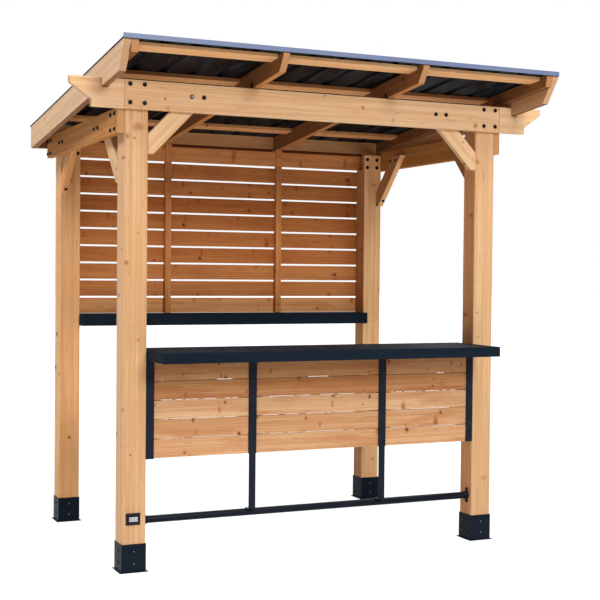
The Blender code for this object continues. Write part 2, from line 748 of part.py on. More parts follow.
def build_panels():
    """Three boarded panels between the uprights, each on two battens."""
    pitch = BOARD_HEIGHT + BOARD_GAP
    reach = GROOVE_DEPTH - GAP
    edge = POST_INNER_X - GAP - EDGE_UPRIGHT_WIDTH
    near = UPRIGHT_X + UPRIGHT_WIDTH / 2
    far = UPRIGHT_X - UPRIGHT_WIDTH / 2
    panel_height = PANEL_BOARDS * pitch - BOARD_GAP
    batten_front = BOARD_SETBACK + BOARD_THICK - WELD
    for name, start, end in (("left", -edge, -near), ("middle", -far, far), ("right", near, edge)):
        bm = bmesh.new()
        add_box(
            bm, (start - reach, end + reach), (BOARD_SETBACK, BOARD_SETBACK + BOARD_THICK),
            (PANEL_BOTTOM, PANEL_BOTTOM + BOARD_HEIGHT))
        panel = make_object("panel_" + name, bm, "cedar")
        array = panel.modifiers.new("board_rows", "ARRAY")
        array.count = PANEL_BOARDS
        array.use_relative_offset = False
        array.use_constant_offset = True
        array.constant_offset_displace = (0.0, 0.0, pitch)
        left_start = start + BATTEN_INSET
        right_start = end - BATTEN_INSET - BATTEN_WIDTH
        for which, batten_x in (("a", left_start), ("b", right_start)):
            batten = bmesh.new()
            add_box(
                batten, (batten_x, batten_x + BATTEN_WIDTH),
                (batten_front, batten_front + BATTEN_THICK),
                (PANEL_BOTTOM, PANEL_BOTTOM + panel_height))
            cut(panel, make_cutter("batten_" + name + "_" + which, batten), "UNION")


def build_foot_rail():
    """Round foot rail with a collar and a screwed flange at each post."""
    half = POST_INNER_X - GAP
    bm = bmesh.new()
    add_cylinder(bm, RAIL_RADIUS, (-half, RAIL_Y, RAIL_Z), (half, RAIL_Y, RAIL_Z), RAIL_SIDES)
    rail = make_object("foot_rail", bm, "black_steel")
    rail.data.shade_smooth()
    rail.data.set_sharp_from_angle(angle=math.radians(35.0))
    for side_name, side in SIDES:
        collar = bmesh.new()
        add_cylinder(
            collar, COLLAR_RADIUS, (side * half, RAIL_Y, RAIL_Z),
            (side * (half - COLLAR_LENGTH), RAIL_Y, RAIL_Z), RAIL_SIDES)
        cut(rail, make_cutter("collar_" + side_name, collar), "UNION")
        flange = bmesh.new()
        add_box(
            flange, mirrored(side, half - FLANGE_THICK, half),
            (RAIL_Y - FLANGE_WIDTH / 2, RAIL_Y + FLANGE_WIDTH / 2),
            (RAIL_Z - FLANGE_LENGTH / 2, RAIL_Z + FLANGE_LENGTH / 2))
        corners = [
            edge for edge in flange.edges
            if abs(edge.verts[0].co.x - edge.verts[1].co.x) > FLANGE_THICK / 2
        ]
        bmesh.ops.bevel(
            flange, geom=corners, offset=FLANGE_WIDTH / 3, segments=3, profile=0.5,
            affect="EDGES", material=-1)
        cut(rail, make_cutter("flange_" + side_name, flange), "UNION")


def build_outlet_plate():
    """Bevelled plate with a shallow window on the front left post."""
    rear = -GAP
    front = rear - PLATE_THICK
    low = (PLATE_X - PLATE_WIDTH / 2, PLATE_Z - PLATE_HEIGHT / 2)
    high = (PLATE_X + PLATE_WIDTH / 2, PLATE_Z + PLATE_HEIGHT / 2)
    bm = bmesh.new()
    add_box(bm, (low[0], high[0]), (front, rear), (low[1], high[1]))
    face = min(bm.faces, key=lambda item: item.calc_center_median().y)
    bmesh.ops.bevel(
        bm, geom=list(face.edges), offset=PLATE_BEVEL, segments=1, profile=0.5,
        affect="EDGES", material=-1)
    plate = make_object("outlet_plate", bm, "black_plastic")
    window = bmesh.new()
    add_box(
        window, (PLATE_X - PLATE_WINDOW_WIDTH / 2, PLATE_X + PLATE_WINDOW_WIDTH / 2),
        (front - PLATE_THICK, front + PLATE_RECESS),
        (PLATE_Z - PLATE_WINDOW_HEIGHT / 2, PLATE_Z + PLATE_WINDOW_HEIGHT / 2))
    cut(plate, make_cutter("outlet_window", window))


def main():
    """Build every piece of the bar."""
    build_posts()
    build_shoes()
    build_front_beam()
    build_side_and_rear_beams()
    build_braces()
    build_rafters()
    build_purlins_and_blocking()
    build_roof_sheet()
    build_trims()
    build_rear_wall()
    build_counter_and_shelf()
    build_uprights()
    build_panels()
    build_foot_rail()
    build_outlet_plate()


clear_scene()
FRAME = bpy.data.objects.new("bar_frame", None)
FRAME.location = (0.0, -(ROOF_FRONT + SHEET_REAR) / 2, 0.0)
bpy.context.scene.collection.objects.link(FRAME)
main()
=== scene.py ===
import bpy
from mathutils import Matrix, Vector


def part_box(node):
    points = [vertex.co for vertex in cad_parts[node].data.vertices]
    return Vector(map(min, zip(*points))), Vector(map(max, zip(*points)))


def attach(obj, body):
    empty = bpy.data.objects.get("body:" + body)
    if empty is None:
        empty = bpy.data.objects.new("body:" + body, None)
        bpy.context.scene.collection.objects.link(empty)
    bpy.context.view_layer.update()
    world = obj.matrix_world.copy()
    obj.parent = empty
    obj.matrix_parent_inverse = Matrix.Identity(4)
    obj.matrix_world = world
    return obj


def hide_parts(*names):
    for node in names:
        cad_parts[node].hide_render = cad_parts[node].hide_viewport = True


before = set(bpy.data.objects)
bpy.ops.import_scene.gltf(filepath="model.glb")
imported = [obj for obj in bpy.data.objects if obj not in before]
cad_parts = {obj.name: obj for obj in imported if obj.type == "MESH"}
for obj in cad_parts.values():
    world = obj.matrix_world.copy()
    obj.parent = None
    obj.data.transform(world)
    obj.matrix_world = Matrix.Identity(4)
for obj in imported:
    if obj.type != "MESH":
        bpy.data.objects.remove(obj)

"""Looks of the cedar outdoor bar: timber, steel, fixings, studio and camera.

Lengths are metres. Positions named "bar" count X across the bar, Y back from the front
faces of the front posts and Z up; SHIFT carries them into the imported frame.
"""

import logging
import math
import random
from collections.abc import Callable, Iterable
from dataclasses import dataclass, field
from enum import Enum
from typing import Any

import bmesh
import bpy
from mathutils import Matrix, Vector

LOG = logging.getLogger("outdoor_bar")
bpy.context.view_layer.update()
SHIFT = -0.57575
NODES: dict[str, bpy.types.Object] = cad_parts

Triple = tuple[float, float, float]
Span = tuple[float, float]

GAP = 0.0003  # clearance between pieces that meet
SLOPE = 0.098  # fall of the roof for each metre back
BEAM_TOP = 2.361  # top of the front beam
POST = 0.118  # width of a post
INNER_X = 0.9215  # faces of the posts that look at each other
REAR_FACE = 1.427  # back faces of the rear posts
SHARP = math.radians(32.0)  # angle past which a smooth piece keeps an edge
SLAT_PITCH = 0.1015  # a wall slat and the gap above it
BOARD_PITCH = 0.0943  # a board of the bar front and the seam above it

ACROSS, BACK, UP = (1.0, 0.0, 0.0), (0.0, 1.0, 0.0), (0.0, 0.0, 1.0)
LEFTWARD, FRONTWARD, BELOW = (-1.0, 0.0, 0.0), (0.0, -1.0, 0.0), (0.0, 0.0, -1.0)
DOWN_SLOPE, OFF_SLOPE = (0.0, 1.0, -SLOPE), (0.0, SLOPE, 1.0)
SIDES = (("left", -1.0), ("right", 1.0))


def bar(x: float, y: float, z: float) -> Vector:
    """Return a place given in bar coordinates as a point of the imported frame."""
    return Vector((x, y + SHIFT, z))


class Face(Enum):
    """Outward directions that fixings point in."""

    FRONT = (0.0, -1.0, 0.0)
    REAR = (0.0, 1.0, 0.0)
    LEFT = (-1.0, 0.0, 0.0)
    RIGHT = (1.0, 0.0, 0.0)
    UP = (0.0, 0.0, 1.0)

    @classmethod
    def sideways(cls, side: float) -> "Face":
        """Return the direction away from the middle on a side, -1 for the left one."""
        return cls.RIGHT if side > 0 else cls.LEFT


class Wire:
    """A node socket that can stand in Python arithmetic."""

    def __init__(self, net: "Net", socket: bpy.types.NodeSocket) -> None:
        """Keep the socket and the net that it belongs to."""
        self.net = net
        self.socket = socket

    def _with(self, operation: str, first: Any, second: Any = 0.0) -> "Wire":
        """Return the result of a Math node on two values or wires."""
        return self.net.add("ShaderNodeMath", {"operation": operation}, {0: first, 1: second})

    def __add__(self, other: Any) -> "Wire":
        """Add a value or wire."""
        return self._with("ADD", self, other)

    def __radd__(self, other: Any) -> "Wire":
        """Add to a value."""
        return self._with("ADD", other, self)

    def __sub__(self, other: Any) -> "Wire":
        """Subtract a value or wire."""
        return self._with("SUBTRACT", self, other)

    def __rsub__(self, other: Any) -> "Wire":
        """Subtract from a value."""
        return self._with("SUBTRACT", other, self)

    def __mul__(self, other: Any) -> "Wire":
        """Multiply by a value or wire."""
        return self._with("MULTIPLY", self, other)

    def __rmul__(self, other: Any) -> "Wire":
        """Multiply a value."""
        return self._with("MULTIPLY", other, self)

    def __truediv__(self, other: Any) -> "Wire":
        """Divide by a value or wire."""
        return self._with("DIVIDE", self, other)

    def __rtruediv__(self, other: Any) -> "Wire":
        """Divide a value."""
        return self._with("DIVIDE", other, self)

    def __pow__(self, other: Any) -> "Wire":
        """Raise to a power."""
        return self._with("POWER", self, other)

    def __abs__(self) -> "Wire":
        """Drop the sign."""
        return self._with("ABSOLUTE", self)

    def fract(self) -> "Wire":
        """Keep the part after the point."""
        return self._with("FRACT", self)

    def floor(self) -> "Wire":
        """Round down."""
        return self._with("FLOOR", self)

    def least(self, other: Any) -> "Wire":
        """Return the smaller of two values."""
        return self._with("MINIMUM", self, other)

    def most(self, other: Any) -> "Wire":
        """Return the larger of two values."""
        return self._with("MAXIMUM", self, other)

    def bell(self) -> "Wire":
        """Return exp(-x * x), a soft bump of width one."""
        return self._with("EXPONENT", self * self * -1.0)

    def step(self, low: float, high: float) -> "Wire":
        """Return 0 below low, 1 above high and a smooth rise between them."""
        return self._ease(low, high, 0.0, 1.0)

    def fall(self, low: float, high: float) -> "Wire":
        """Return 1 below low, 0 above high and a smooth fall between them."""
        return self._ease(low, high, 1.0, 0.0)

    def _ease(self, low: float, high: float, start: float, end: float) -> "Wire":
        """Run smoothly from one value to another.

        Args:
            low: where the run starts.
            high: where it ends.
            start: value at low and below it.
            end: value at high and above it.

        Returns:
            The eased value.
        """
        return self.net.add(
            "ShaderNodeMapRange", {"interpolation_type": "SMOOTHSTEP", "clamp": True},
            {0: self, 1: low, 2: high, 3: start, 4: end})


class Net:
    """The node tree of one material, with a Principled shader at its end."""

    def __init__(self, name: str) -> None:
        """Start a material with nothing but its output and shader.

        Args:
            name: name of the material.
        """
        self.material = bpy.data.materials.new(name)
        self.material.use_nodes = True
        self.tree = self.material.node_tree
        self.shader = self.tree.nodes["Principled BSDF"]

    def add(
        self, kind: str, settings: dict[str, Any] | None = None,
        values: dict[Any, Any] | None = None, out: Any = None,
    ) -> Wire:
        """Add a node.

        Args:
            kind: the node's type name.
            settings: properties, set before the sockets; "stops" fills a ramp and "steps"
                sets how it runs between them.
            values: numbers, tuples or wires for the input sockets.
            out: name or number of the output to return, or None for the usual one.

        Returns:
            The chosen output as a wire.
        """
        node = self.tree.nodes.new(kind)
        for key, value in (settings or {}).items():
            if key == "steps":
                node.color_ramp.interpolation = value
            elif key == "stops":
                ramp = node.color_ramp
                while len(ramp.elements) < len(value):
                    ramp.elements.new(0.5)
                for element, (place, colour) in zip(ramp.elements, value):
                    element.position = place
                    element.color = (*colour, 1.0)
            else:
                setattr(node, key, value)
        for key, value in (values or {}).items():
            self.feed(node.inputs[key], value)
        if out is None:
            out = 2 if kind == "ShaderNodeMix" and node.data_type == "RGBA" else 0
        return Wire(self, node.outputs[out])

    def feed(self, socket: bpy.types.NodeSocket, value: Any) -> None:
        """Link a wire to a socket, or set the socket's own value.

        Args:
            socket: the input socket.
            value: a wire, a number or a tuple; colours need three numbers.
        """
        if isinstance(value, Wire):
            self.tree.links.new(value.socket, socket)
        elif socket.type == "RGBA":
            socket.default_value = (*value[:3], 1.0)
        else:
            socket.default_value = value

    def place(self) -> Wire:
        """Return the Object coordinates."""
        return self.add("ShaderNodeTexCoord", out="Object")

    def normal(self) -> Wire:
        """Return the direction that the surface faces."""
        return self.add("ShaderNodeNewGeometry", out="Normal")

    def vector(self, operation: str, first: Any, second: Any = None) -> Wire:
        """Work on vectors.

        Args:
            operation: what the Vector Math node does.
            first: a vector.
            second: a second vector, or None for a length.

        Returns:
            The result, a number for a dot product or a length.
        """
        out = "Value" if operation in ("DOT_PRODUCT", "LENGTH") else 0
        values = {0: first} if second is None else {0: first, 1: second}
        return self.add("ShaderNodeVectorMath", {"operation": operation}, values, out)

    def combine(self, x: Any, y: Any, z: Any) -> Wire:
        """Return a vector from three numbers or wires."""
        return self.add("ShaderNodeCombineXYZ", None, {0: x, 1: y, 2: z})

    def noise(self, vector: Wire, scale: float, detail: float = 2.0, rough: float = 0.5) -> Wire:
        """Draw a cloudy noise.

        Args:
            vector: where the noise is read.
            scale: cycles for each unit of the vector.
            detail: octaves of finer noise.
            rough: strength of each octave beside the one before.

        Returns:
            The noise, around one half.
        """
        return self.add(
            "ShaderNodeTexNoise", {"noise_dimensions": "3D"},
            {"Vector": vector, "Scale": scale, "Detail": detail, "Roughness": rough})

    def blend(self, factor: Any, first: Any, second: Any, mode: str = "MIX") -> Wire:
        """Mix two colours.

        Args:
            factor: share of the second colour.
            first: a colour or wire.
            second: a colour or wire.
            mode: how the Mix node joins them.

        Returns:
            The mixed colour.
        """
        return self.add(
            "ShaderNodeMix", {"data_type": "RGBA", "blend_type": mode},
            {0: factor, 6: first, 7: second})

    def bump(self, height: Wire, strength: float, distance: float) -> None:
        """Send a height field to the shader's Normal.

        Args:
            height: the height field.
            strength: how strongly it shows.
            distance: metres that a height of one stands for.
        """
        normal = self.add(
            "ShaderNodeBump", None,
            {"Strength": strength, "Distance": distance, "Height": height})
        self.feed(self.shader.inputs["Normal"], normal)

    def finish(self, colour: Any, roughness: Any, specular: float = 0.5) -> bpy.types.Material:
        """Fill the shader's main sockets.

        Args:
            colour: base colour.
            roughness: roughness of the surface.
            specular: strength of the plain gloss.

        Returns:
            The finished material.
        """
        self.feed(self.shader.inputs["Base Color"], colour)
        self.feed(self.shader.inputs["Roughness"], roughness)
        self.shader.inputs["Metallic"].default_value = 0.0
        self.shader.inputs["Specular IOR Level"].default_value = specular
        return self.material


@dataclass(frozen=True)
class Grain:
    """How the wood lies in a timber.

    Args:
        along: direction of the fibres.
        across: direction across the timber's wide face.
        centre: middle of the timber's section.
        half: half width and half depth of the section.
        seed: number that makes the pattern this timber's own.
        tone: brightness of the timber, 1 for the usual one.
        row: start and pitch of boards stacked in Z, or None for one timber.
        row_tones_and_shade: brightness of the stacked boards from the lowest up, partly their own
            tone and partly painted shade.
        facing: direction in which the faces with painted light or shade look.
        painted_light_factor: colour factor of those faces; above one it is painted light, below
            one painted shade.
    """

    along: Triple
    across: Triple
    centre: Triple
    half: Span
    seed: int
    tone: float = 1.0
    row: Span | None = None
    row_tones_and_shade: tuple[float, ...] = ()
    facing: Triple | None = None
    painted_light_factor: Triple = (1.0, 1.0, 1.0)


@dataclass
class Fibres:
    """Coordinates inside one timber, as wires, and the board's own luck and its shade, a factor
    that holds tone and painted shade.
    """

    along: Wire
    across: Wire
    deep: Wire
    luck: Any
    shade: Any


@dataclass(frozen=True)
class Knots:
    """A scatter of knots.

    Args:
        cell: spacing along, across and into the timber.
        share: part of the cells that hold a knot.
        radius: usual radius of the dark core.
        shape: how much a knot is drawn out along, across and into the timber.
        ragged: how far the outline wanders.
        moves: how far a seed moves the scatter, in cells along, across and into the timber.
        stray: how far a knot strays from its cell's middle.
        girth: smallest radius and how much the largest one exceeds it, in usual radii.
        ragged_cycles: cycles a metre of the wandering outline.
        ragged_rough: strength of each octave of its noise beside the one before.
        pick_edge: how sharply the cells that hold a knot are told from the others.
        far: distance given to an empty cell, in radii.
    """

    cell: Triple = (0.24, 0.075, 0.075)
    share: float = 0.80
    radius: float = 0.0050
    shape: Triple = (1.0, 1.0, 2.0)
    ragged: float = 0.0030
    moves: Triple = (0.37, 1.13, 0.71)
    stray: float = 0.9
    girth: Span = (0.55, 1.1)
    ragged_cycles: float = 75.0
    ragged_rough: float = 0.6
    pick_edge: float = 0.01
    far: float = 90.0

    def reach(self, net: Net, fibres: Fibres, seed: float) -> Wire:
        """Measure how far each point of a timber lies from a knot.

        Args:
            net: the material's nodes.
            fibres: coordinates inside the timber.
            seed: number of the scatter.

        Returns:
            The distance from the nearest knot, in radii of that knot, very large where the
            nearest cell is empty.
        """
        size, moves = self.cell, self.moves
        place = net.combine(
            fibres.along / size[0] + seed * moves[0], fibres.across / size[1] + seed * moves[1],
            fibres.deep / size[2] + (0.5 + seed * moves[2]))
        values = {"Vector": place, "Scale": 1.0, "Randomness": self.stray}
        settings = {"voronoi_dimensions": "3D", "feature": "F1"}
        point = net.add("ShaderNodeTexVoronoi", settings, values, out="Position")
        chance = net.add("ShaderNodeTexVoronoi", settings, values, out="Color")
        parts = {0: chance}
        pick = net.add("ShaderNodeSeparateColor", None, parts, out=0)
        girth = net.add("ShaderNodeSeparateColor", None, parts, out=1)
        metric = tuple(length / draw for length, draw in zip(size, self.shape))
        offset = net.vector("MULTIPLY", net.vector("SUBTRACT", place, point), metric)
        fine = net.combine(
            fibres.along * self.ragged_cycles, fibres.across * self.ragged_cycles,
            fibres.deep * self.ragged_cycles)
        wander = (net.noise(fine, 1.0, 2.0, self.ragged_rough) - 0.5) * self.ragged
        away = net.vector("LENGTH", offset) + wander
        core = (girth * girth * self.girth[1] + self.girth[0]) * self.radius
        return away / core + pick.step(self.share, self.share + self.pick_edge) * self.far


@dataclass(frozen=True)
class Layer:
    """A noise drawn out along a timber.

    Args:
        along: cycles a metre along the fibres.
        across: cycles a metre across the fibres.
        detail: octaves of finer noise.
        span: values between which it comes up.
        share: how strongly it then shows.
        rough: strength of each octave beside the one before.
    """

    along: float
    across: float
    detail: float
    span: Span
    share: float = 1.0
    rough: float = 0.6

    def draw(self, net: Net, fibres: Fibres) -> Wire:
        """Lay the noise into a timber.

        Args:
            net: the material's nodes.
            fibres: coordinates inside the timber.

        Returns:
            The noise, around one half.
        """
        place = net.combine(
            fibres.along * self.along, fibres.across * self.across, fibres.deep * self.across)
        return net.noise(place, 1.0, self.detail, self.rough)


@dataclass(frozen=True)
class Planed:
    """What all planed and stained wood shares, whatever its colour.

    Args:
        fibre: fine dark fibres.
        pale_fibre: values of the same noise below which fibres are pale.
        pale_share: how strongly those show.
        band: pale and usual streaks.
        cloud: broad darker clouds.
        dash: short dark resin streaks.
        smear: short smears across the grain.
        core: radii of a small knot between which its dark core fades.
        halo: radii between which the colour round it fades.
        halo_share: how strongly that colour shows.
        rosette: radii between which a large knot fades.
        hollow: radii between which its paler middle fades.
        hollow_share: how pale that middle is.
        eye: radii between which its dark eye fades.
        eye_share: how dark the eye is.
        worn: distances from an arris between which the pale edge band fades.
        wear_and_highlight_share: how strongly that band shows; it is partly wear and partly a
            painted highlight on the rounded edges.
        wear_and_highlight_wander: how far the band wanders.
        sawn: how squarely a face must cut the fibres to show as a sawn end.
        sawn_share: how strongly a sawn end shows.
        pore_cycles: cycles a metre of an end's pores, across and along the fibres.
        pore_rough: strength of each octave of the pores' noise beside the one before.
        pore: values between which the pores come up.
        pore_share: how strongly pores show, and rings on a sawn end.
        uneven: how far the clouds and the streaks change the brightness.
        stain_and_shade: powers by which red and blue follow a brightness, which holds the timber's
            tone and painted shade.
        turned: how squarely a face must look in a direction to take its painted light or shade.
        rough: how far fibres, rings and knots change the roughness.
        relief: height of fibres, rings, small knots and large knots in the bump.
        bump: strength and distance of the bump.
        specular: strength of the plain gloss.
        whorl_seed: what a seed is multiplied by for the large knots.
        luck_step: how far a seed moves the luck of a single timber.
        seed_shift: metres along the fibres that a seed moves the figure.
        board_shift: metres that the boards of a stack may be moved apart.
    """

    fibre: Layer = Layer(4.0, 330.0, 2.0, (0.54, 0.80), 0.30)
    pale_fibre: Span = (0.22, 0.44)
    pale_share: float = 0.22
    band: Layer = Layer(0.9, 46.0, 4.0, (0.36, 0.62))
    cloud: Layer = Layer(2.2, 13.0, 3.0, (0.46, 0.70))
    dash: Layer = Layer(9.0, 90.0, 2.0, (0.62, 0.74))
    smear: Layer = Layer(26.0, 12.0, 3.0, (0.60, 0.78), 0.30)
    core: Span = (0.70, 1.30)
    halo: Span = (0.9, 2.9)
    halo_share: float = 0.70
    rosette: Span = (0.8, 2.2)
    hollow: Span = (0.0, 0.5)
    hollow_share: float = 0.4
    eye: Span = (0.25, 0.75)
    eye_share: float = 0.8
    worn: Span = (0.0008, 0.0068)
    wear_and_highlight_share: float = 0.40
    wear_and_highlight_wander: float = 0.004
    sawn: Span = (0.50, 0.66)
    sawn_share: float = 0.85
    pore_cycles: Span = (420.0, 3.0)
    pore_rough: float = 0.6
    pore: Span = (0.5, 0.8)
    pore_share: Span = (0.30, 0.20)
    uneven: Span = (0.30, 0.25)
    stain_and_shade: Span = (0.62, 1.45)
    turned: Span = (0.70, 0.95)
    rough: Triple = (0.20, 0.06, 0.14)
    relief: tuple[float, float, float, float] = (0.5, 0.6, 0.7, 0.3)
    bump: Span = (0.28, 0.0007)
    specular: float = 0.12
    whorl_seed: float = 1.7
    luck_step: float = 0.731
    seed_shift: float = 2.37
    board_shift: float = 9.0


@dataclass(frozen=True)
class Rings:
    """How the growth rings run through a timber that was sawn beside the tree's heart.

    Args:
        lean: largest slant of the heart beside the timber.
        side: how far the heart may lie to one side.
        depth: how far it lies behind the timber's middle.
        sweep: how far it swings for a flame of one.
        sweep_cycles: cycles a metre of that swing.
        wave: how far the rings wander sideways.
        wave_cycles: cycles a metre of that wandering, along and across the fibres.
        board_step: how far the luck of a stacked board moves it sideways.
        board_luck: how far that luck moves its swing.
        seeds: what a seed is multiplied by for the swing, the slant and the side.
        pin_swell: how far the rings swell round a small knot, and how fast that fades.
        whorl_swell: the same for a large knot.
        rise: share of a ring over which the late wood darkens.
        drop: share over which it ends.
    """

    lean: float = 0.010
    side: float = 0.040
    depth: float = 0.028
    sweep: float = 0.16
    sweep_cycles: float = 0.9
    wave: float = 0.022
    wave_cycles: Span = (1.1, 7.0)
    board_step: float = 0.05
    board_luck: float = 40.0
    seeds: Triple = (1.3, 2.1, 1.7)
    pin_swell: Span = (0.006, 0.45)
    whorl_swell: Span = (0.016, 0.5)
    rise: Span = (0.30, 0.86)
    drop: Span = (0.88, 1.0)

    def draw(self, net: Net, fibres: Fibres, pins: Wire, whorls: Wire, seed: int,
             pitch: float, flame: float) -> Wire:
        """Cut the timber through its growth rings, which swell round the knots.

        Args:
            net: the material's nodes.
            fibres: coordinates inside the timber.
            pins: distance from the nearest small knot.
            whorls: distance from the nearest large knot.
            seed: number of the timber.
            pitch: distance between the lines of late wood.
            flame: how far the lines sweep into arches along the timber.

        Returns:
            Mask of the dark late wood.
        """
        slow, fast = self.wave_cycles
        wave = net.combine(fibres.along * slow, fibres.across * fast, fibres.deep * fast)
        bend = net.noise(wave, 1.0, 2.0, 0.5) - 0.5
        swing = net.combine(
            fibres.along * self.sweep_cycles, seed * self.seeds[0],
            fibres.luck * self.board_luck)
        sweep = net.noise(swing, 1.0, 1.0)
        lean = self.lean * math.sin(seed * self.seeds[1])
        side = self.side * math.cos(seed * self.seeds[2])
        x = (fibres.across + fibres.along * lean + bend * self.wave + side
             + fibres.luck * self.board_step)
        y = fibres.deep + (sweep - 0.5) * (self.sweep * flame) + self.depth
        radius = (x * x + y * y) ** 0.5
        lump = ((pins * self.pin_swell[1]).bell() * self.pin_swell[0]
                + (whorls * self.whorl_swell[1]).bell() * self.whorl_swell[0])
        phase = ((radius + lump) / pitch).fract()
        return phase.step(*self.rise) * phase.fall(*self.drop)


PLANED = Planed()
RINGS = Rings()


@dataclass(frozen=True)
class Cedar:
    """Planed and stained cedar.

    Args:
        name: name of the finish.
        pale: colour of the light streaks.
        tawny: usual colour.
        late: colour of the dark lines of late wood.
        streak: colour of the broad warm streaks.
        knot: colour of a knot's core.
        halo: colour round a knot.
        end: colour of a sawn end.
        ring_pitch: distance between the lines of late wood.
        ring_strength: how strongly the lines show.
        flame: how far the lines sweep into arches along the timber.
        pins: the small dark knots.
        whorls: the large faint knots.
        whorl_strength: how strongly the large knots show.
        blotch: strength of the broad darker clouds.
        dashes: strength of the short dark resin streaks.
        roughness: usual roughness.
    """

    name: str
    pale: Triple
    tawny: Triple
    late: Triple
    streak: Triple
    knot: Triple = (0.075, 0.020, 0.007)
    halo: Triple = (0.48, 0.150, 0.042)
    end: Triple = (0.58, 0.33, 0.17)
    ring_pitch: float = 0.0125
    ring_strength: float = 0.24
    flame: float = 0.25
    pins: Knots = Knots()
    whorls: Knots = Knots((0.55, 0.12, 0.12), 0.80, 0.0080, (1.0, 1.6, 2.4), 0.008)
    whorl_strength: float = 0.45
    blotch: float = 0.45
    dashes: float = 0.25
    roughness: float = 0.66

    def paint(self, label: str, grain: Grain) -> bpy.types.Material:
        """Make the material of one timber.

        Args:
            label: name of the timber.
            grain: directions, section and seed of the timber.

        Returns:
            The finished material.
        """
        net, wood = Net(self.name + "_" + label), PLANED
        a = Vector(grain.along).normalized()
        fibres = self._fibres(net, grain, a)
        pins = self.pins.reach(net, fibres, float(grain.seed))
        whorls = self.whorls.reach(net, fibres, grain.seed * wood.whorl_seed)
        core, halo = pins.fall(*wood.core), pins.fall(*wood.halo)
        rosette = whorls.fall(*wood.rosette) * (
            1.0 - whorls.fall(*wood.hollow) * wood.hollow_share)
        eye = whorls.fall(*wood.eye) * wood.eye_share
        rings = RINGS.draw(
            net, fibres, pins, whorls, grain.seed, self.ring_pitch, self.flame)
        fibre, band, cloud, dash, smear = (
            layer.draw(net, fibres)
            for layer in (wood.fibre, wood.band, wood.cloud, wood.dash, wood.smear))
        colour = net.blend(band.step(*wood.band.span), self.pale, self.tawny)
        colour = net.blend(cloud.step(*wood.cloud.span) * self.blotch, colour, self.streak)
        colour = net.blend(rings * self.ring_strength, colour, self.late)
        colour = net.blend(fibre.step(*wood.fibre.span) * wood.fibre.share, colour, self.late)
        colour = net.blend(fibre.fall(*wood.pale_fibre) * wood.pale_share, colour, self.pale)
        colour = net.blend(smear.step(*wood.smear.span) * wood.smear.share, colour, self.streak)
        colour = net.blend(dash.step(*wood.dash.span) * self.dashes, colour, self.knot)
        colour = net.blend(rosette * self.whorl_strength, colour, self.halo)
        colour = net.blend(halo * wood.halo_share, colour, self.halo)
        colour = net.blend(core.most(eye * self.whorl_strength), colour, self.knot)
        # Pale band along every arris: partly wear, partly a painted highlight where the rounded
        # edges catch light.
        edge = (grain.half[0] - abs(fibres.across)) + (grain.half[1] - abs(fibres.deep))
        worn = (edge + (fibre - 0.5) * wood.wear_and_highlight_wander).fall(*wood.worn)
        colour = net.blend(worn * wood.wear_and_highlight_share, colour, self.pale)
        # This brightness multiplies in the tone and the boards' row factors, which carry painted
        # shade on some timbers.
        shade = (cloud - 0.5) * wood.uneven[0] + (band - 0.5) * wood.uneven[1] + grain.tone
        shade = shade * fibres.shade
        stain_and_shade = net.combine(shade ** wood.stain_and_shade[0], shade, shade ** wood.stain_and_shade[1])
        colour = net.blend(1.0, colour, stain_and_shade, "MULTIPLY")
        colour = self._ends(net, fibres, a, rings, colour)
        # Faces that look along facing get a colour factor: painted light where it is above one,
        # painted shade where it is below one.
        if grain.facing:
            turned_to = net.vector("DOT_PRODUCT", net.normal(), grain.facing).step(*wood.turned)
            colour = net.blend(turned_to, colour, net.blend(1.0, colour, grain.painted_light_factor, "MULTIPLY"))
        rough = (
            (fibre - 0.5) * wood.rough[0] + rings * wood.rough[1] - core * wood.rough[2]
            + self.roughness)
        relief = (
            fibre * wood.relief[0] + rings * wood.relief[1] - core * wood.relief[2]
            + rosette * wood.relief[3])
        net.bump(relief, *wood.bump)
        return net.finish(colour, rough, wood.specular)

    def _ends(self, net: Net, fibres: Fibres, a: Vector, rings: Wire, colour: Wire) -> Wire:
        """Colour the faces that are sawn across the fibres.

        Args:
            net: the material's nodes.
            fibres: coordinates inside the timber.
            a: unit direction of the fibres.
            rings: mask of the dark late wood.
            colour: colour of the planed faces.

        Returns:
            The colour of all faces.
        """
        across, along = PLANED.pore_cycles
        end_on = abs(net.vector("DOT_PRODUCT", net.normal(), tuple(a))).step(*PLANED.sawn)
        place = net.combine(fibres.across * across, fibres.deep * across, fibres.along * along)
        pores = net.noise(place, 1.0, 2.0, PLANED.pore_rough).step(*PLANED.pore)
        dark = rings * PLANED.pore_share[1] + pores * PLANED.pore_share[0]
        sawn = net.blend(dark, self.end, self.late)
        return net.blend(end_on * PLANED.sawn_share, colour, sawn)

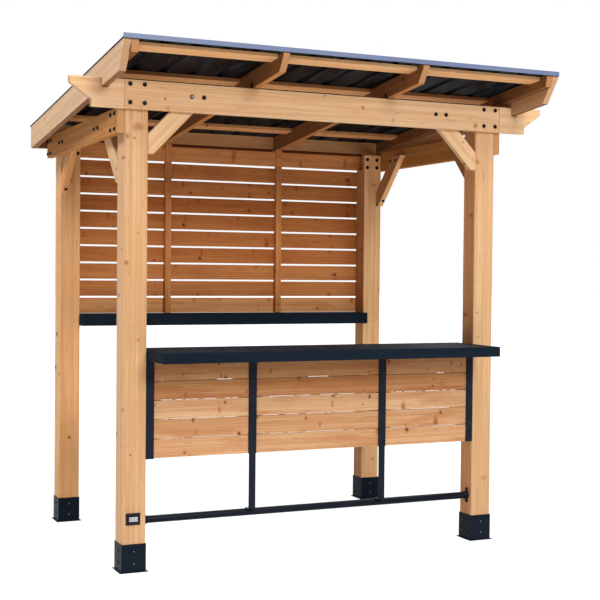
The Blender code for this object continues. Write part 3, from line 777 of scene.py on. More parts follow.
    def _fibres(self, net: Net, grain: Grain, a: Vector) -> Fibres:
        """Lay coordinates into a timber.

        Args:
            net: the material's nodes.
            grain: directions, section and seed of the timber.
            a: unit direction of the fibres.

        Returns:
            The coordinates, which differ from board to board in a stack.
        """
        b = Vector(grain.across).normalized()
        c = a.cross(b)
        place = net.place()
        local = net.vector("SUBTRACT", place, grain.centre)
        along = net.vector("DOT_PRODUCT", local, tuple(a))
        across = net.vector("DOT_PRODUCT", local, tuple(b))
        deep = net.vector("DOT_PRODUCT", local, tuple(c))
        luck: Any = (grain.seed * PLANED.luck_step) % 1.0
        shade: Any = 1.0
        if grain.row:
            start, pitch = grain.row
            height = net.add("ShaderNodeSeparateXYZ", None, {0: place}, out=2)
            index = ((height - start) / pitch).floor()
            luck = net.add(
                "ShaderNodeTexWhiteNoise", {"noise_dimensions": "1D"},
                {"W": index + grain.seed * 1.0}, out="Value")
            across = across - ((index + 0.5) * pitch + (start - grain.centre[2]))
            along = along + luck * PLANED.board_shift
            count = len(grain.row_tones_and_shade)
            stops = [(row / count, (tone / 2,) * 3) for row, tone in enumerate(grain.row_tones_and_shade)]
            shade = net.add(
                "ShaderNodeValToRGB", {"steps": "CONSTANT", "stops": stops},
                {0: (index + 0.5) / float(count)}) * 2.0
        return Fibres(along + grain.seed * PLANED.seed_shift, across, deep, luck, shade)

@dataclass(frozen=True)
class Steel:
    """Powder-coated steel.

    Args:
        name: name of the finish.
        coat: usual colour of the coat.
        rub: colour of the lighter cloudy and rubbed places.
        dust: colour of the dust that lies on upward faces.
        dusting: how much dust shows.
        roughness: usual roughness.
        streak_axis: axis along which the clouds are drawn out.
        specular: strength of the plain gloss.
        grit: cycles of the clouds a metre across the streaks.
        haze: range of the noise over which the clouds come up.
        skin_cycles: cycles a metre of the coat's fine skin.
        scuff_cycles: cycles a metre of the scuffs along X, Y and Z.
        streak_cycles: cycles a metre of the clouds along the streaks.
        cloud_noise: octaves of the clouds' finer noise, and their strength.
        scuff_noise: the same for the scuffs.
        haze_share: strength of the clouds, and how much less they show on upward faces.
        scuff_span: values of the noise over which the scuffs come up.
        scuff_share: how strongly the scuffs show.
        upward: how squarely a face must look up to hold dust.
        dust_spread: how far the dust follows the clouds, and its least share.
        uneven: how far clouds, skin and scuffs change the roughness.
        relief: height of the skin and the clouds in the bump.
        bump: strength and distance of the bump.
    """

    name: str
    coat: Triple
    rub: Triple
    dust: Triple = (0.040, 0.038, 0.040)
    dusting: float = 0.35
    roughness: float = 0.42
    streak_axis: int = 0
    specular: float = 0.06
    grit: float = 16.0
    haze: Span = (0.35, 0.75)
    skin_cycles: float = 950.0
    scuff_cycles: Triple = (60.0, 60.0, 150.0)
    streak_cycles: float = 1.5
    cloud_noise: Span = (3.0, 0.6)
    scuff_noise: Span = (4.0, 0.7)
    haze_share: Span = (0.6, 0.45)
    scuff_span: Span = (0.64, 0.80)
    scuff_share: float = 0.30
    upward: Span = (0.25, 0.9)
    dust_spread: Span = (0.8, 0.3)
    uneven: Triple = (0.24, 0.10, 0.08)
    relief: Span = (0.8, 0.4)
    bump: Span = (0.12, 0.0004)

    def paint(self) -> bpy.types.Material:
        """Make the material.

        Returns:
            The finished material.
        """
        net = Net(self.name)
        place = net.place()
        stretch = [self.grit, self.grit, self.grit]
        stretch[self.streak_axis] = self.streak_cycles
        cloud_place = net.vector("MULTIPLY", place, tuple(stretch))
        cloud = net.noise(cloud_place, 1.0, *self.cloud_noise)
        skin = net.noise(place, self.skin_cycles, 2.0, 0.5)
        scuff_place = net.vector("MULTIPLY", place, self.scuff_cycles)
        scuff = net.noise(scuff_place, 1.0, *self.scuff_noise).step(*self.scuff_span)
        upward = net.vector("DOT_PRODUCT", net.normal(), UP).step(*self.upward)
        haze = cloud.step(*self.haze) * (self.haze_share[0] - upward * self.haze_share[1])
        lying = upward * (cloud * self.dust_spread[0] + self.dust_spread[1]) * self.dusting
        colour = net.blend(haze, self.coat, self.rub)
        colour = net.blend(scuff * self.scuff_share, colour, self.rub)
        colour = net.blend(lying, colour, self.dust)
        by_cloud, by_skin, by_scuff = self.uneven
        rough = ((cloud - 0.5) * by_cloud + (skin - 0.5) * by_skin + scuff * by_scuff
                 + self.roughness)
        net.bump(skin * self.relief[0] + cloud * self.relief[1], *self.bump)
        return net.finish(colour, rough, self.specular)


@dataclass(frozen=True)
class Plastic:
    """Moulded plastic with a fine grained skin.

    Args:
        name: name of the finish.
        colour: usual colour.
        shade: colour of the darker or lighter clouds.
        roughness: usual roughness.
        specular: strength of the plain gloss.
        cloud_cycles: cycles a metre of the clouds.
        skin_cycles: cycles a metre of the fine grained skin.
        span: values of the noise over which the clouds come up.
        uneven: how far the clouds change the roughness.
        bump: strength and distance of the skin's bump.
    """

    name: str
    colour: Triple
    shade: Triple
    roughness: float = 0.40
    specular: float = 0.25
    cloud_cycles: float = 45.0
    skin_cycles: float = 1500.0
    span: Span = (0.35, 0.7)
    uneven: float = 0.12
    bump: Span = (0.12, 0.0003)

    def paint(self) -> bpy.types.Material:
        """Make the material.

        Returns:
            The finished material.
        """
        net = Net(self.name)
        place = net.place()
        cloud = net.noise(place, self.cloud_cycles, 2.0)
        skin = net.noise(place, self.skin_cycles, 2.0)
        colour = net.blend(cloud.step(*self.span), self.colour, self.shade)
        net.bump(skin, *self.bump)
        return net.finish(colour, (cloud - 0.5) * self.uneven + self.roughness, self.specular)


class Palette:
    """Every finish of the bar, made once."""

    def __init__(self) -> None:
        """Mix each finish from the colours that the real bar shows; the rear frame, side beam,
        rafter and wall cedars are darker copies that hold painted shade, the barge cedar a paler
        copy that holds painted light, and the trim's blue-grey is a painted sky reflection.
        """
        self.frame = Cedar(
            "frame_cedar", (0.725, 0.485, 0.285), (0.630, 0.362, 0.180),
            (0.500, 0.245, 0.096), (0.590, 0.308, 0.130), knot=(0.130, 0.042, 0.016),
            halo=(0.42, 0.150, 0.045), whorl_strength=0.60)
        # A redder copy of the frame cedar for the rear posts and rear braces; the extra saturation
        # is painted shade with warm bounced light deep under the roof.
        self.rear_frame = Cedar(
            "rear_frame_cedar", (0.840, 0.480, 0.230), (0.735, 0.360, 0.142),
            (0.580, 0.240, 0.076), (0.680, 0.305, 0.102), knot=(0.110, 0.034, 0.012))
        # A paler, bluer copy of the cedar for the left barge board; the paleness is painted sky
        # light on its outer face.
        self.barge = Cedar(
            "barge_cedar", (0.690, 0.480, 0.315), (0.600, 0.390, 0.235),
            (0.450, 0.240, 0.110), (0.520, 0.300, 0.145), end=(0.45, 0.25, 0.125))
        # A darker, redder copy of the cedar for the side beams; the darkness is painted shade from
        # the roof's overhang.
        self.beam = Cedar(
            "side_beam_cedar", (0.600, 0.310, 0.105), (0.490, 0.215, 0.058),
            (0.350, 0.130, 0.030), (0.420, 0.170, 0.040), end=(0.53, 0.28, 0.135))
        # A much darker copy of the cedar for the rafters; the darkness is painted shade under the
        # roof.
        self.rafter = Cedar(
            "rafter_cedar", (0.374, 0.204, 0.095), (0.302, 0.140, 0.055),
            (0.216, 0.088, 0.030), (0.259, 0.112, 0.040), knot=(0.055, 0.016, 0.006),
            halo=(0.30, 0.105, 0.034), end=(0.50, 0.24, 0.11))
        # A darker, redder copy of the cedar for the rear wall, its studs and the rear beam; the
        # darkness is painted shade under the roof.
        self.wall = Cedar(
            "wall_cedar", (0.695, 0.298, 0.101), (0.580, 0.213, 0.064),
            (0.348, 0.103, 0.026), (0.432, 0.140, 0.037), knot=(0.055, 0.015, 0.005),
            halo=(0.34, 0.090, 0.022), end=(0.40, 0.19, 0.08), ring_strength=0.34,
            pins=Knots((0.30, SLAT_PITCH, 0.50), 0.50, 0.0048, (1.0, 1.2, 60.0), 0.0042),
            whorls=Knots((0.45, SLAT_PITCH, 0.50), 0.60, 0.0090, (0.8, 2.0, 60.0), 0.010),
            whorl_strength=0.6, blotch=0.7, dashes=0.35)
        self.panel = Cedar(
            "panel_cedar", (0.700, 0.425, 0.232), (0.590, 0.300, 0.138),
            (0.400, 0.158, 0.054), (0.470, 0.184, 0.065), knot=(0.100, 0.030, 0.011),
            halo=(0.38, 0.120, 0.036), flame=0.8, ring_strength=0.26,
            pins=Knots((0.22, BOARD_PITCH, 0.50), 0.55, 0.0046, (1.0, 1.3, 60.0), 0.0042),
            whorls=Knots((0.36, BOARD_PITCH, 0.50), 0.50, 0.0080, (0.8, 2.2, 60.0), 0.011),
            whorl_strength=0.7, blotch=0.7, dashes=0.3)
        self.purlin = Cedar(
            "purlin_cedar", (0.780, 0.440, 0.205), (0.680, 0.332, 0.132),
            (0.510, 0.214, 0.068), (0.600, 0.264, 0.088))
        self.black = Steel(
            "frame_steel", (0.0066, 0.0116, 0.0198), (0.0135, 0.0190, 0.0295),
            specular=0.04).paint()
        self.tube = Steel(
            "tube_steel", (0.0046, 0.0074, 0.0130), (0.0090, 0.0120, 0.0190), roughness=0.30,
            specular=0.075).paint()
        self.upright = Steel(
            "upright_steel", (0.0115, 0.0152, 0.0232), (0.0190, 0.0235, 0.0335),
            specular=0.04).paint()
        self.counter = Steel(
            "counter_steel", (0.0055, 0.0110, 0.0185), (0.0095, 0.0150, 0.0240),
            dust=(0.012, 0.011, 0.013), roughness=0.68, specular=0.04).paint()
        self.roof = Steel(
            "roof_steel", (0.0018, 0.0036, 0.0056), (0.0440, 0.0480, 0.0540), roughness=0.5,
            streak_axis=1, grit=42.0, haze=(0.46, 0.66), specular=0.05).paint()
        # The coat's blue-grey is a painted reflection of the sky over the trim's own dark steel.
        self.trim = Steel(
            "trim_steel", (0.128, 0.157, 0.262), (0.172, 0.206, 0.325), roughness=0.38,
            dusting=0.0, specular=0.2).paint()
        self.bolt = Steel(
            "bolt_steel", (0.006, 0.006, 0.008), (0.020, 0.020, 0.024), roughness=0.36).paint()
        self.rim = Steel(
            "washer_steel", (0.014, 0.015, 0.018), (0.040, 0.042, 0.048), roughness=0.34,
            specular=0.35).paint()
        # Bare zinc for the one worn bolt; the same finish paints the highlight on the coach bolts'
        # domes.
        self.bright = Steel(
            "zinc_steel_and_painted_highlight", (0.17, 0.18, 0.21), (0.27, 0.28, 0.32), roughness=0.34,
            specular=0.5).paint()
        self.plastic = Plastic(
            "outlet_plastic", (0.009, 0.010, 0.014), (0.015, 0.016, 0.020), specular=0.08).paint()
        self.insert = Plastic("outlet_insert", (0.46, 0.46, 0.48), (0.54, 0.54, 0.56)).paint()


PALETTE = Palette()


def settle(name: str, bm: bmesh.types.BMesh, slot: str, *skins: bpy.types.Material,
           smooth: bool = False) -> bpy.types.Object:
    """Turn a bmesh into a piece that rides on the bar.

    Args:
        name: the piece's name.
        bm: the finished shape; it is freed.
        slot: material slot of the record; not used.
        skins: materials in the order of the faces' material numbers.
        smooth: True shades curved faces smooth.

    Returns:
        The new object.
    """
    bmesh.ops.recalc_face_normals(bm, faces=bm.faces)
    mesh = bpy.data.meshes.new(name)
    bm.to_mesh(mesh)
    bm.free()
    if smooth:
        mesh.shade_smooth()
        mesh.set_sharp_from_angle(angle=SHARP)
    piece = bpy.data.objects.new(name, mesh)
    bpy.context.scene.collection.objects.link(piece)
    for skin in skins:
        mesh.materials.append(skin)
    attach(piece, "root")
    return piece


def add_block(bm: bmesh.types.BMesh, low: Vector, high: Vector, ease: float = 0.0,
              segments: int = 2, skin: int = 0) -> list[bmesh.types.BMVert]:
    """Add a block between two corners, with rounded edges.

    Args:
        bm: the mesh to add to.
        low: lowest corner.
        high: highest corner.
        ease: radius of the edges, 0 for sharp ones.
        segments: facets of each rounded edge.
        skin: material number of the faces.

    Returns:
        The block's vertices.
    """
    size = high - low
    placing = Matrix.Translation((low + high) / 2) @ Matrix.Diagonal((*size, 1.0))
    verts = bmesh.ops.create_cube(bm, size=1.0, matrix=placing)["verts"]
    edges = list({edge for vert in verts for edge in vert.link_edges})
    faces = list({face for vert in verts for face in vert.link_faces})
    if ease > 0.0:
        done = bmesh.ops.bevel(
            bm, geom=edges, offset=ease, segments=segments, profile=0.5, affect="EDGES",
            material=-1)
        faces = list({*done["faces"], *(face for face in faces if face.is_valid)})
        faces = list({face for item in faces for vert in item.verts for face in vert.link_faces})
    for face in faces:
        face.material_index = skin
    return list({vert for face in faces for vert in face.verts})


def add_fold(bm: bmesh.types.BMesh, points: list[Vector], run: Vector, thick: float,
             skins: tuple[int, ...]) -> None:
    """Draw a folded strip of sheet steel along a line, and thicken it.

    Args:
        bm: the mesh to add to.
        points: outline of the outer surface at the strip's start.
        run: length and direction of the strip.
        thick: thickness of the sheet.
        skins: material number of each face between two points.
    """
    verts = [bm.verts.new(point) for point in points]
    edges = [bm.edges.new(pair) for pair in zip(verts, verts[1:])]
    made = bmesh.ops.extrude_edge_only(bm, edges=edges)["geom"]
    moved = [item for item in made if isinstance(item, bmesh.types.BMVert)]
    bmesh.ops.translate(bm, verts=moved, vec=run)
    faces = [edge.link_faces[0] for edge in edges]
    bmesh.ops.recalc_face_normals(bm, faces=faces)
    if max(faces, key=lambda face: abs(face.normal.z)).normal.z < 0.0:
        bmesh.ops.reverse_faces(bm, faces=faces)
    for face, skin in zip(faces, skins):
        face.material_index = skin
    bmesh.ops.solidify(bm, geom=faces, thickness=thick)


def turned(start: Vector, axis: Vector) -> Matrix:
    """Return a matrix that stands the Z axis along a direction at a point."""
    return Matrix.Translation(start) @ axis.to_track_quat("Z", "Y").to_matrix().to_4x4()


@dataclass(frozen=True)
class Drum:
    """A drum with its outer rim rounded.

    Args:
        radius: radius of the drum.
        height: height of the drum.
        sides: number of sides.
        ease: radius of the rounded rim, 0 for a sharp one.
        skin: material number of the faces.
        segments: facets of the rounded rim.
    """

    radius: float
    height: float
    sides: int
    ease: float = 0.0
    skin: int = 0
    segments: int = 2

    def add(self, bm: bmesh.types.BMesh, start: Vector, axis: Vector) -> Vector:
        """Stand the drum on a point.

        Args:
            bm: the mesh to add to.
            start: centre of the foot.
            axis: unit direction that it stands in.

        Returns:
            The centre of its top.
        """
        placing = turned(start + axis * (self.height / 2), axis)
        made = bmesh.ops.create_cone(
            bm, cap_ends=True, segments=self.sides, radius1=self.radius, radius2=self.radius,
            depth=self.height, matrix=placing)
        faces = {face for vert in made["verts"] for face in vert.link_faces}
        if self.ease > 0.0:
            cap = max(faces, key=lambda face: (face.calc_center_median() - start).dot(axis))
            done = bmesh.ops.bevel(
                bm, geom=list(cap.edges), offset=self.ease, segments=self.segments, profile=0.5,
                affect="EDGES", material=-1)
            faces = {face for face in faces if face.is_valid} | set(done["faces"])
        for face in faces:
            face.material_index = self.skin
        return start + axis * self.height


@dataclass
class Fixings:
    """Bolts and screws, gathered into one mesh for each sub-assembly.

    Their skins are 0 for dark steel, 1 for the lighter washers and 2 for bare zinc, which also
    paints the highlight on the coach bolts' domes.
    """

    name: str
    slot: str = "frame_steel"
    bm: bmesh.types.BMesh = field(default_factory=bmesh.new)
    count: int = 0

    def stack(self, where: Vector, face: Face | Vector, *drums: Drum) -> None:
        """Add one fixing from drums that stand on each other.

        Args:
            where: centre of the lowest drum's foot.
            face: direction that the fixing points out in.
            drums: the drums, from the lowest up.
        """
        axis = face.normalized() if isinstance(face, Vector) else Vector(face.value)
        for drum in drums:
            where = drum.add(self.bm, where, axis)
        self.count += 1

    def bolt(self, where: Vector, face: Face | Vector, head: float = 0.0084,
             washer: float = 0.0112, skin: int = 0) -> None:
        """Add a hexagon bolt head on its washer.

        Args:
            where: centre of the washer's foot.
            face: direction that the bolt points out in.
            head: radius of the head.
            washer: radius of the washer.
            skin: material number of the head.
        """
        self.stack(where, face, Drum(washer, 0.0018, 20, 0.0006, 1, 1),
                   Drum(head, 0.0058, 6, 0.0012, skin), Drum(head * 0.62, 0.0006, 14, 0.0, skin))

    def dome(self, where: Vector, face: Face, radius: float = 0.0085) -> None:
        """Add the round head of a coach bolt, with a small pale crown that is a painted highlight.

        Args:
            where: centre of the head's foot.
            face: direction that the bolt points out in.
            radius: radius of the head.
        """
        # The small zinc drum on top of the dome is a painted highlight.
        self.stack(where, face, Drum(radius, 0.0046, 18, 0.0036, 0, 4),
                   Drum(radius * 0.40, 0.0003, 12, 0.0, 2))

    def screw(self, where: Vector, face: Face | Vector, radius: float = 0.0042) -> None:
        """Add a small pan-head screw with a socket.

        Args:
            where: centre of the head's foot.
            face: direction that the screw points out in.
            radius: radius of the head.
        """
        self.stack(where, face, Drum(radius, 0.0016, 10, 0.0007, 0, 1),
                   Drum(radius * 0.42, 0.0002, 6, 0.0, 1))

    def roofing(self, where: Vector, axis: Vector) -> None:
        """Add a hexagon roofing screw on its sealing washer."""
        self.stack(where, axis, Drum(0.0075, 0.0016, 10, 0.0, 1), Drum(0.0048, 0.0042, 6))

    def close(self) -> bpy.types.Object:
        """Finish the mesh.

        Returns:
            The piece that holds all the fixings.
        """
        LOG.info("%s: %d fixings", self.name, self.count)
        return settle(
            self.name, self.bm, self.slot, PALETTE.bolt, PALETTE.rim, PALETTE.bright, smooth=True)


def dress(name: str, material: bpy.types.Material) -> None:
    """Give a CAD node its material.

    Args:
        name: the CAD node.
        material: its finish.
    """
    mesh = NODES[name].data
    mesh.materials.clear()
    mesh.materials.append(material)


def timber(name: str, cedar: Cedar, along: Triple, across: Triple, seed: int, tone: float = 1.0,
           section: Span | None = None, facing: Triple | None = None,
           painted_light_factor: Triple = (1.0, 1.0, 1.0)) -> None:
    """Dress a CAD timber with grain along its length.

    Args:
        name: the CAD node.
        cedar: the finish.
        along: direction of the fibres.
        across: direction across the wide face.
        seed: number of the pattern.
        tone: brightness of the piece.
        section: full width and depth where the box doesn't give them.
        facing: direction in which the faces with painted light or shade look.
            painted_light_factor: colour factor of those faces; above one it is painted light,
                below one painted shade.
    """
    low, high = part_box(name)
    a, b = Vector(along).normalized(), Vector(across).normalized()
    size = high - low
    width, depth = section or (abs(size.dot(b)), abs(size.dot(a.cross(b))))
    grain = Grain(tuple(a), tuple(b), tuple((low + high) / 2), (width / 2, depth / 2), seed, tone,
                  facing=facing, painted_light_factor=painted_light_factor)
    dress(name, cedar.paint(name, grain))


@dataclass
class Posts:
    """Four posts in steel shoes, with the shoes' coach bolts."""

    outer_x: float = 1.0395
    wall: float = 0.0025
    bolts: Span = (0.102, 0.042)
    pair: float = 0.018
    small: float = 0.0062

    def dress(self) -> None:
        """Give the posts their grain and the shoes their coat; the posts' left-looking faces take
        painted light or painted shade, and the rear right post a brighter tone that is painted
        light.
        """
        # The factors paint light on the front left post's outer face and paint shade on the inner
        # faces of the right posts; the rear right post's tone of 1.30 is painted light.
        for seed, (name, tone, painted_light_factor) in enumerate((
                ("post_front_left", 0.88, (1.09, 1.16, 1.28)),
                ("post_front_right", 0.92, (1.14, 0.95, 0.78)),
                ("post_rear_left", 1.00, (0.90, 1.00, 1.18)),
                ("post_rear_right", 1.30, (0.62, 0.51, 0.43))), start=3):
            cedar = PALETTE.rear_frame if "rear" in name else PALETTE.frame
            timber(name, cedar, UP, ACROSS, seed, tone, None, LEFTWARD, painted_light_factor)
        for end in ("front", "rear"):
            for side, _ in SIDES:
                dress(f"shoe_{end}_{side}", PALETTE.black)

    def fit(self) -> None:
        """Bolt the shoes, with one column on three sides and two on the side that looks in."""
        fixings = Fixings("shoe_bolts")
        half = POST / 2 + self.wall
        for _, side in SIDES:
            outward, inward = Face.sideways(side), Face.sideways(-side)
            x = side * (self.outer_x - POST / 2)
            for y in (POST / 2, REAR_FACE - POST / 2):
                for z in self.bolts:
                    fixings.dome(bar(x, y - half, z), Face.FRONT)
                    fixings.dome(bar(x, y + half, z), Face.REAR)
                    fixings.dome(bar(x + side * half, y, z), outward)
                    for step in (-self.pair, self.pair):
                        fixings.dome(bar(x - side * half, y + step, z), inward, self.small)
        fixings.close()


@dataclass
class Beams:
    """Front beam with its tails, side beams, rear beam and their bolts."""

    front: float = -0.0338
    side_face: float = 1.0733
    worn_bolt: float = 0.713
    front_bolts: tuple[tuple[float, float], ...] = (
        (0.950, 2.3405), (1.021, 2.3405), (0.950, 2.2525), (1.021, 2.2525),
        (0.651, 2.298), (0.713, 2.298))
    side_bolts: tuple[tuple[float, float], ...] = (
        (0.049, 2.205), (0.121, 2.205), (0.049, 2.132), (0.121, 2.132),
        (0.357, 2.168), (0.426, 2.168), (1.116, 2.170), (1.190, 2.170),
        (1.409, 2.202), (1.474, 2.202), (1.409, 2.130), (1.474, 2.130))

    def dress(self) -> None:
        """Lay the grain along each beam."""
        # The side beams take the side beam cedar and the rear beam takes the wall cedar; both are
        # darker copies that hold painted shade.
        for seed, (name, cedar, along, tone) in enumerate((
                ("front_beam", PALETTE.frame, ACROSS, 1.00),
                ("beam_tail_left", PALETTE.frame, ACROSS, 1.08),
                ("beam_tail_right", PALETTE.frame, ACROSS, 1.08),
                ("side_beam_left", PALETTE.beam, BACK, 0.84),
                ("side_beam_right", PALETTE.beam, BACK, 0.80),
                ("rear_beam", PALETTE.wall, ACROSS, 1.08)), start=11):
            timber(name, cedar, along, UP, seed, tone)

    def fit(self) -> None:
        """Bolt the beams to the posts and braces."""
        fixings = Fixings("beam_bolts")
        for _, side in SIDES:
            for x, z in self.front_bolts:
                worn = side < 0 and x == self.worn_bolt
                fixings.bolt(bar(side * x, self.front, z), Face.FRONT, skin=2 if worn else 0)
            for y, z in self.side_bolts:
                fixings.bolt(bar(side * self.side_face, y, z), Face.sideways(side))
        fixings.close()


@dataclass
class Braces:
    """Corner braces behind the front beam and inside the side beams."""

    angle: float = math.radians(46.0)
    thick: float = 0.035
    width: float = 0.086
    side_x: float = 1.0045
    head_bolts: tuple[float, ...] = (1.120, 1.059, 0.305, 0.368)
    head_z: float = 2.159
    foot: float = 0.060
    front_foot_z: float = 2.016
    side_foot_z: float = 1.882
    foot_rise: float = 0.032
    screw: float = 0.0062
    washer: float = 0.0084
    foot_head: float = 0.0078
    foot_washer: float = 0.0096

    def dress(self) -> None:
        """Lay the grain along each brace."""
        cos, sin = math.cos(self.angle), math.sin(self.angle)
        section = (self.width, self.thick)
        for word, side in SIDES:
            left, hand = side < 0, int(side)
            along = (-side * cos, 0.0, sin)
            timber(f"front_brace_{word}", PALETTE.frame, along, (side * sin, 0.0, cos),
                   21 + hand, 1.02, section)
            # The side braces' tones differ from side to side as painted light and painted shade,
            # and the factor on the rear right brace's left face is painted shade.
            timber(f"side_brace_front_{word}", PALETTE.frame, (0.0, cos, sin), (0.0, -sin, cos),
                   25 + hand, 1.0 if left else 0.44, section)
            timber(f"side_brace_rear_{word}", PALETTE.rear_frame, (0.0, -cos, sin),
                   (0.0, sin, cos), 28 + hand, 0.78 if left else 1.12, section,
                   None if left else LEFTWARD, (0.58, 0.47, 0.40))

    def fit(self) -> None:
        """Screw the braces at their feet and bolt them at their heads."""
        fixings = Fixings("brace_fixings")
        cos, sin = math.cos(self.angle), math.sin(self.angle)
        lift = self.foot_rise * sin / cos
        for _, side in SIDES:
            for y in self.head_bolts:
                fixings.bolt(bar(side * self.side_x, y, self.head_z), Face.sideways(-side),
                             self.screw, self.washer)
            foot = bar(side * (INNER_X - self.foot), self.thick / 2, self.front_foot_z + lift)
            fixings.screw(foot, Vector((side * -sin, 0.0, -cos)), self.screw)
            middle, height = side * (self.side_x + self.thick / 2), self.side_foot_z + lift
            foot = bar(middle, REAR_FACE - POST - self.foot, height)
            fixings.bolt(foot, Vector((0.0, -sin, -cos)), self.foot_head, self.foot_washer)
            fixings.screw(bar(middle, POST + self.foot, height), Vector((0.0, sin, -cos)),
                          self.screw)
        fixings.close()


@dataclass
class Roof:
    """Rafters, barge boards, purlins, sheet, folded trims and their fixings."""

    rafter_depth: float = 0.0875
    rafter_section: Span = (0.088, 0.035)
    edge_section: Span = (0.064, 0.035)
    barge_section: Span = (0.132, 0.034)
    purlin_section: Span = (0.089, 0.019)
    purlins: tuple[float, ...] = (-0.347, 0.145, 0.667, 1.188)
    purlin_middle: float = 0.044
    ribs: int = 16
    rib_edge: float = 0.04675
    beside_rib: float = 0.034
    half_width: float = 1.1485
    sheet: float = 0.0012
    rafter_x: float = 0.3755
    rafter_side: float = 0.0177
    joint: float = 1.075
    lap: float = 0.010
    lap_step: float = 0.0005
    lap_sink: float = 0.6
    trim_sheet: float = 0.0007
    cap_half: float = 0.0004
    cap_depth: Span = (0.0013, 0.0140)
    cap_drop: Span = (0.0126, 0.0022)
    rivet: Drum = Drum(0.0018, 0.0005, 10, 0.0, 1)
    rivet_steps: Span = (0.003, 0.007)
    rivet_drop: float = 0.012
    rivet_seat: float = 0.0006
    lip: float = 0.0088
    side_round: float = 0.0009
    side_sheet: float = 0.0010
    side_sink: float = 0.0002
    tie_plate: float = 0.0016
    tie_up: float = 0.028
    tie_out: float = 0.022
    tie_y: Triple = (-0.029, -0.017, -0.005)
    tie_screws: Span = (0.018, 0.013)
    tie_heads: Span = (0.0044, 0.0040)
    tie_ease: float = 0.0003
    tie_gap: float = 0.0002
    front_profile: tuple[Span, ...] = (
        (0.0140, 0.0014), (0.0006, 0.0001), (0.0, 0.0075), (0.0003, 0.0222), (0.0003, 0.0252))

    def plane(self, y: float) -> float:
        """Return the height of the rafters' upper edges."""
        return BEAM_TOP + GAP - SLOPE * y + self.rafter_depth * math.hypot(1.0, SLOPE)

    def dress(self) -> None:
        """Lay the grain down the slope and coat the sheet."""
        for seed, word in ((31, "left"), (36, "right")):
            # The rafters' under faces take a factor that paints light bounced from the floor; the
            # edge rafters' front ends take one that paints shade.
            timber(f"rafter_{word}", PALETTE.rafter, DOWN_SLOPE, OFF_SLOPE, seed, 0.57,
                   self.rafter_section, BELOW, (2.05, 2.00, 1.88))
            timber(f"edge_rafter_{word}", PALETTE.rafter, DOWN_SLOPE, OFF_SLOPE, seed + 1, 0.60,
                   self.edge_section, FRONTWARD, (0.92, 0.88, 0.84))
            # The right barge's lower tone is painted shade, and the factor on both barges' under
            # faces is painted shade beneath them.
            cedar, tone = (PALETTE.barge, 1.0) if word == "left" else (PALETTE.frame, 0.78)
            timber(f"barge_board_{word}", cedar, DOWN_SLOPE, OFF_SLOPE, seed + 2, tone,
                   self.barge_section, BELOW, (0.48, 0.34, 0.26))
        seed = 41
        for bay in ("left", "middle", "right"):
            for row in range(1, len(self.purlins) + 1):
                # The purlins behind the first are darkened as painted shade and the first is
                # brightened as painted light; the under faces of the darker ones take a factor
                # that paints light bounced from the floor.
                tone, painted_light_factor = (1.18, (1.0, 1.0, 1.0)) if row == 1 else (0.72, (1.26, 1.36, 1.50))
                timber(f"purlin_{row}_{bay}", PALETTE.purlin, ACROSS, DOWN_SLOPE, seed, tone,
                       self.purlin_section, BELOW, painted_light_factor)
                seed += 1
            timber(f"blocking_{bay}", PALETTE.purlin, ACROSS, UP, seed, 1.12)
            seed += 1
        # The factor on the fascia's front face is painted shade under the roof.
        timber("rear_fascia", PALETTE.frame, ACROSS, UP, seed, 0.92, None, FRONTWARD,
               (0.34, 0.27, 0.31))
        dress("roof_sheet", PALETTE.roof)

    def fit(self) -> None:
        """Fold the trims, screw the sheet to the purlins and tie the rafters to the beam."""
        self.front_fold()
        self.side_folds()
        fixings = Fixings("roof_screws", "roof_steel")
        normal = Vector(OFF_SLOPE).normalized()
        pitch = 2 * (self.half_width - self.rib_edge) / (self.ribs - 1)
        first = -pitch * (self.ribs - 1) / 2
        for front in self.purlins:
            y = front + self.purlin_middle
            for index in range(self.ribs - 1):
                x = first + index * pitch + self.beside_rib
                fixings.roofing(bar(x, y, self.plane(y) + GAP + self.sheet), normal)
        fixings.close()
        ties = Fixings("rafter_ties")
        for _, side in SIDES:
            for _, hand in SIDES:
                self.tie(ties, side * self.rafter_x, hand)
        ties.close()

    def tie(self, ties: Fixings, middle: float, hand: float) -> None:
        """Screw one steel angle to a rafter's side and the beam's top.

        Args:
            ties: mesh that takes the angle and its screws.
            middle: X of the rafter's middle.
            hand: -1 for the rafter's left side, 1 for its right side.
        """
        face, foot = middle + hand * self.rafter_side, BEAM_TOP + self.tie_gap
        front, screw, back = self.tie_y
        upper, outer = self.tie_screws
        for reach, rise in ((self.tie_plate, self.tie_up), (self.tie_out, self.tie_plate)):
            far = face + hand * reach
            add_block(ties.bm, bar(min(face, far), front, foot),
                      bar(max(face, far), back, foot + rise), self.tie_ease, 1)
        ties.screw(bar(face + hand * self.tie_plate, screw, foot + upper), Face.sideways(hand),
                   self.tie_heads[0])
        ties.screw(bar(face + hand * outer, screw, foot + self.tie_plate), Face.UP,
                   self.tie_heads[1])

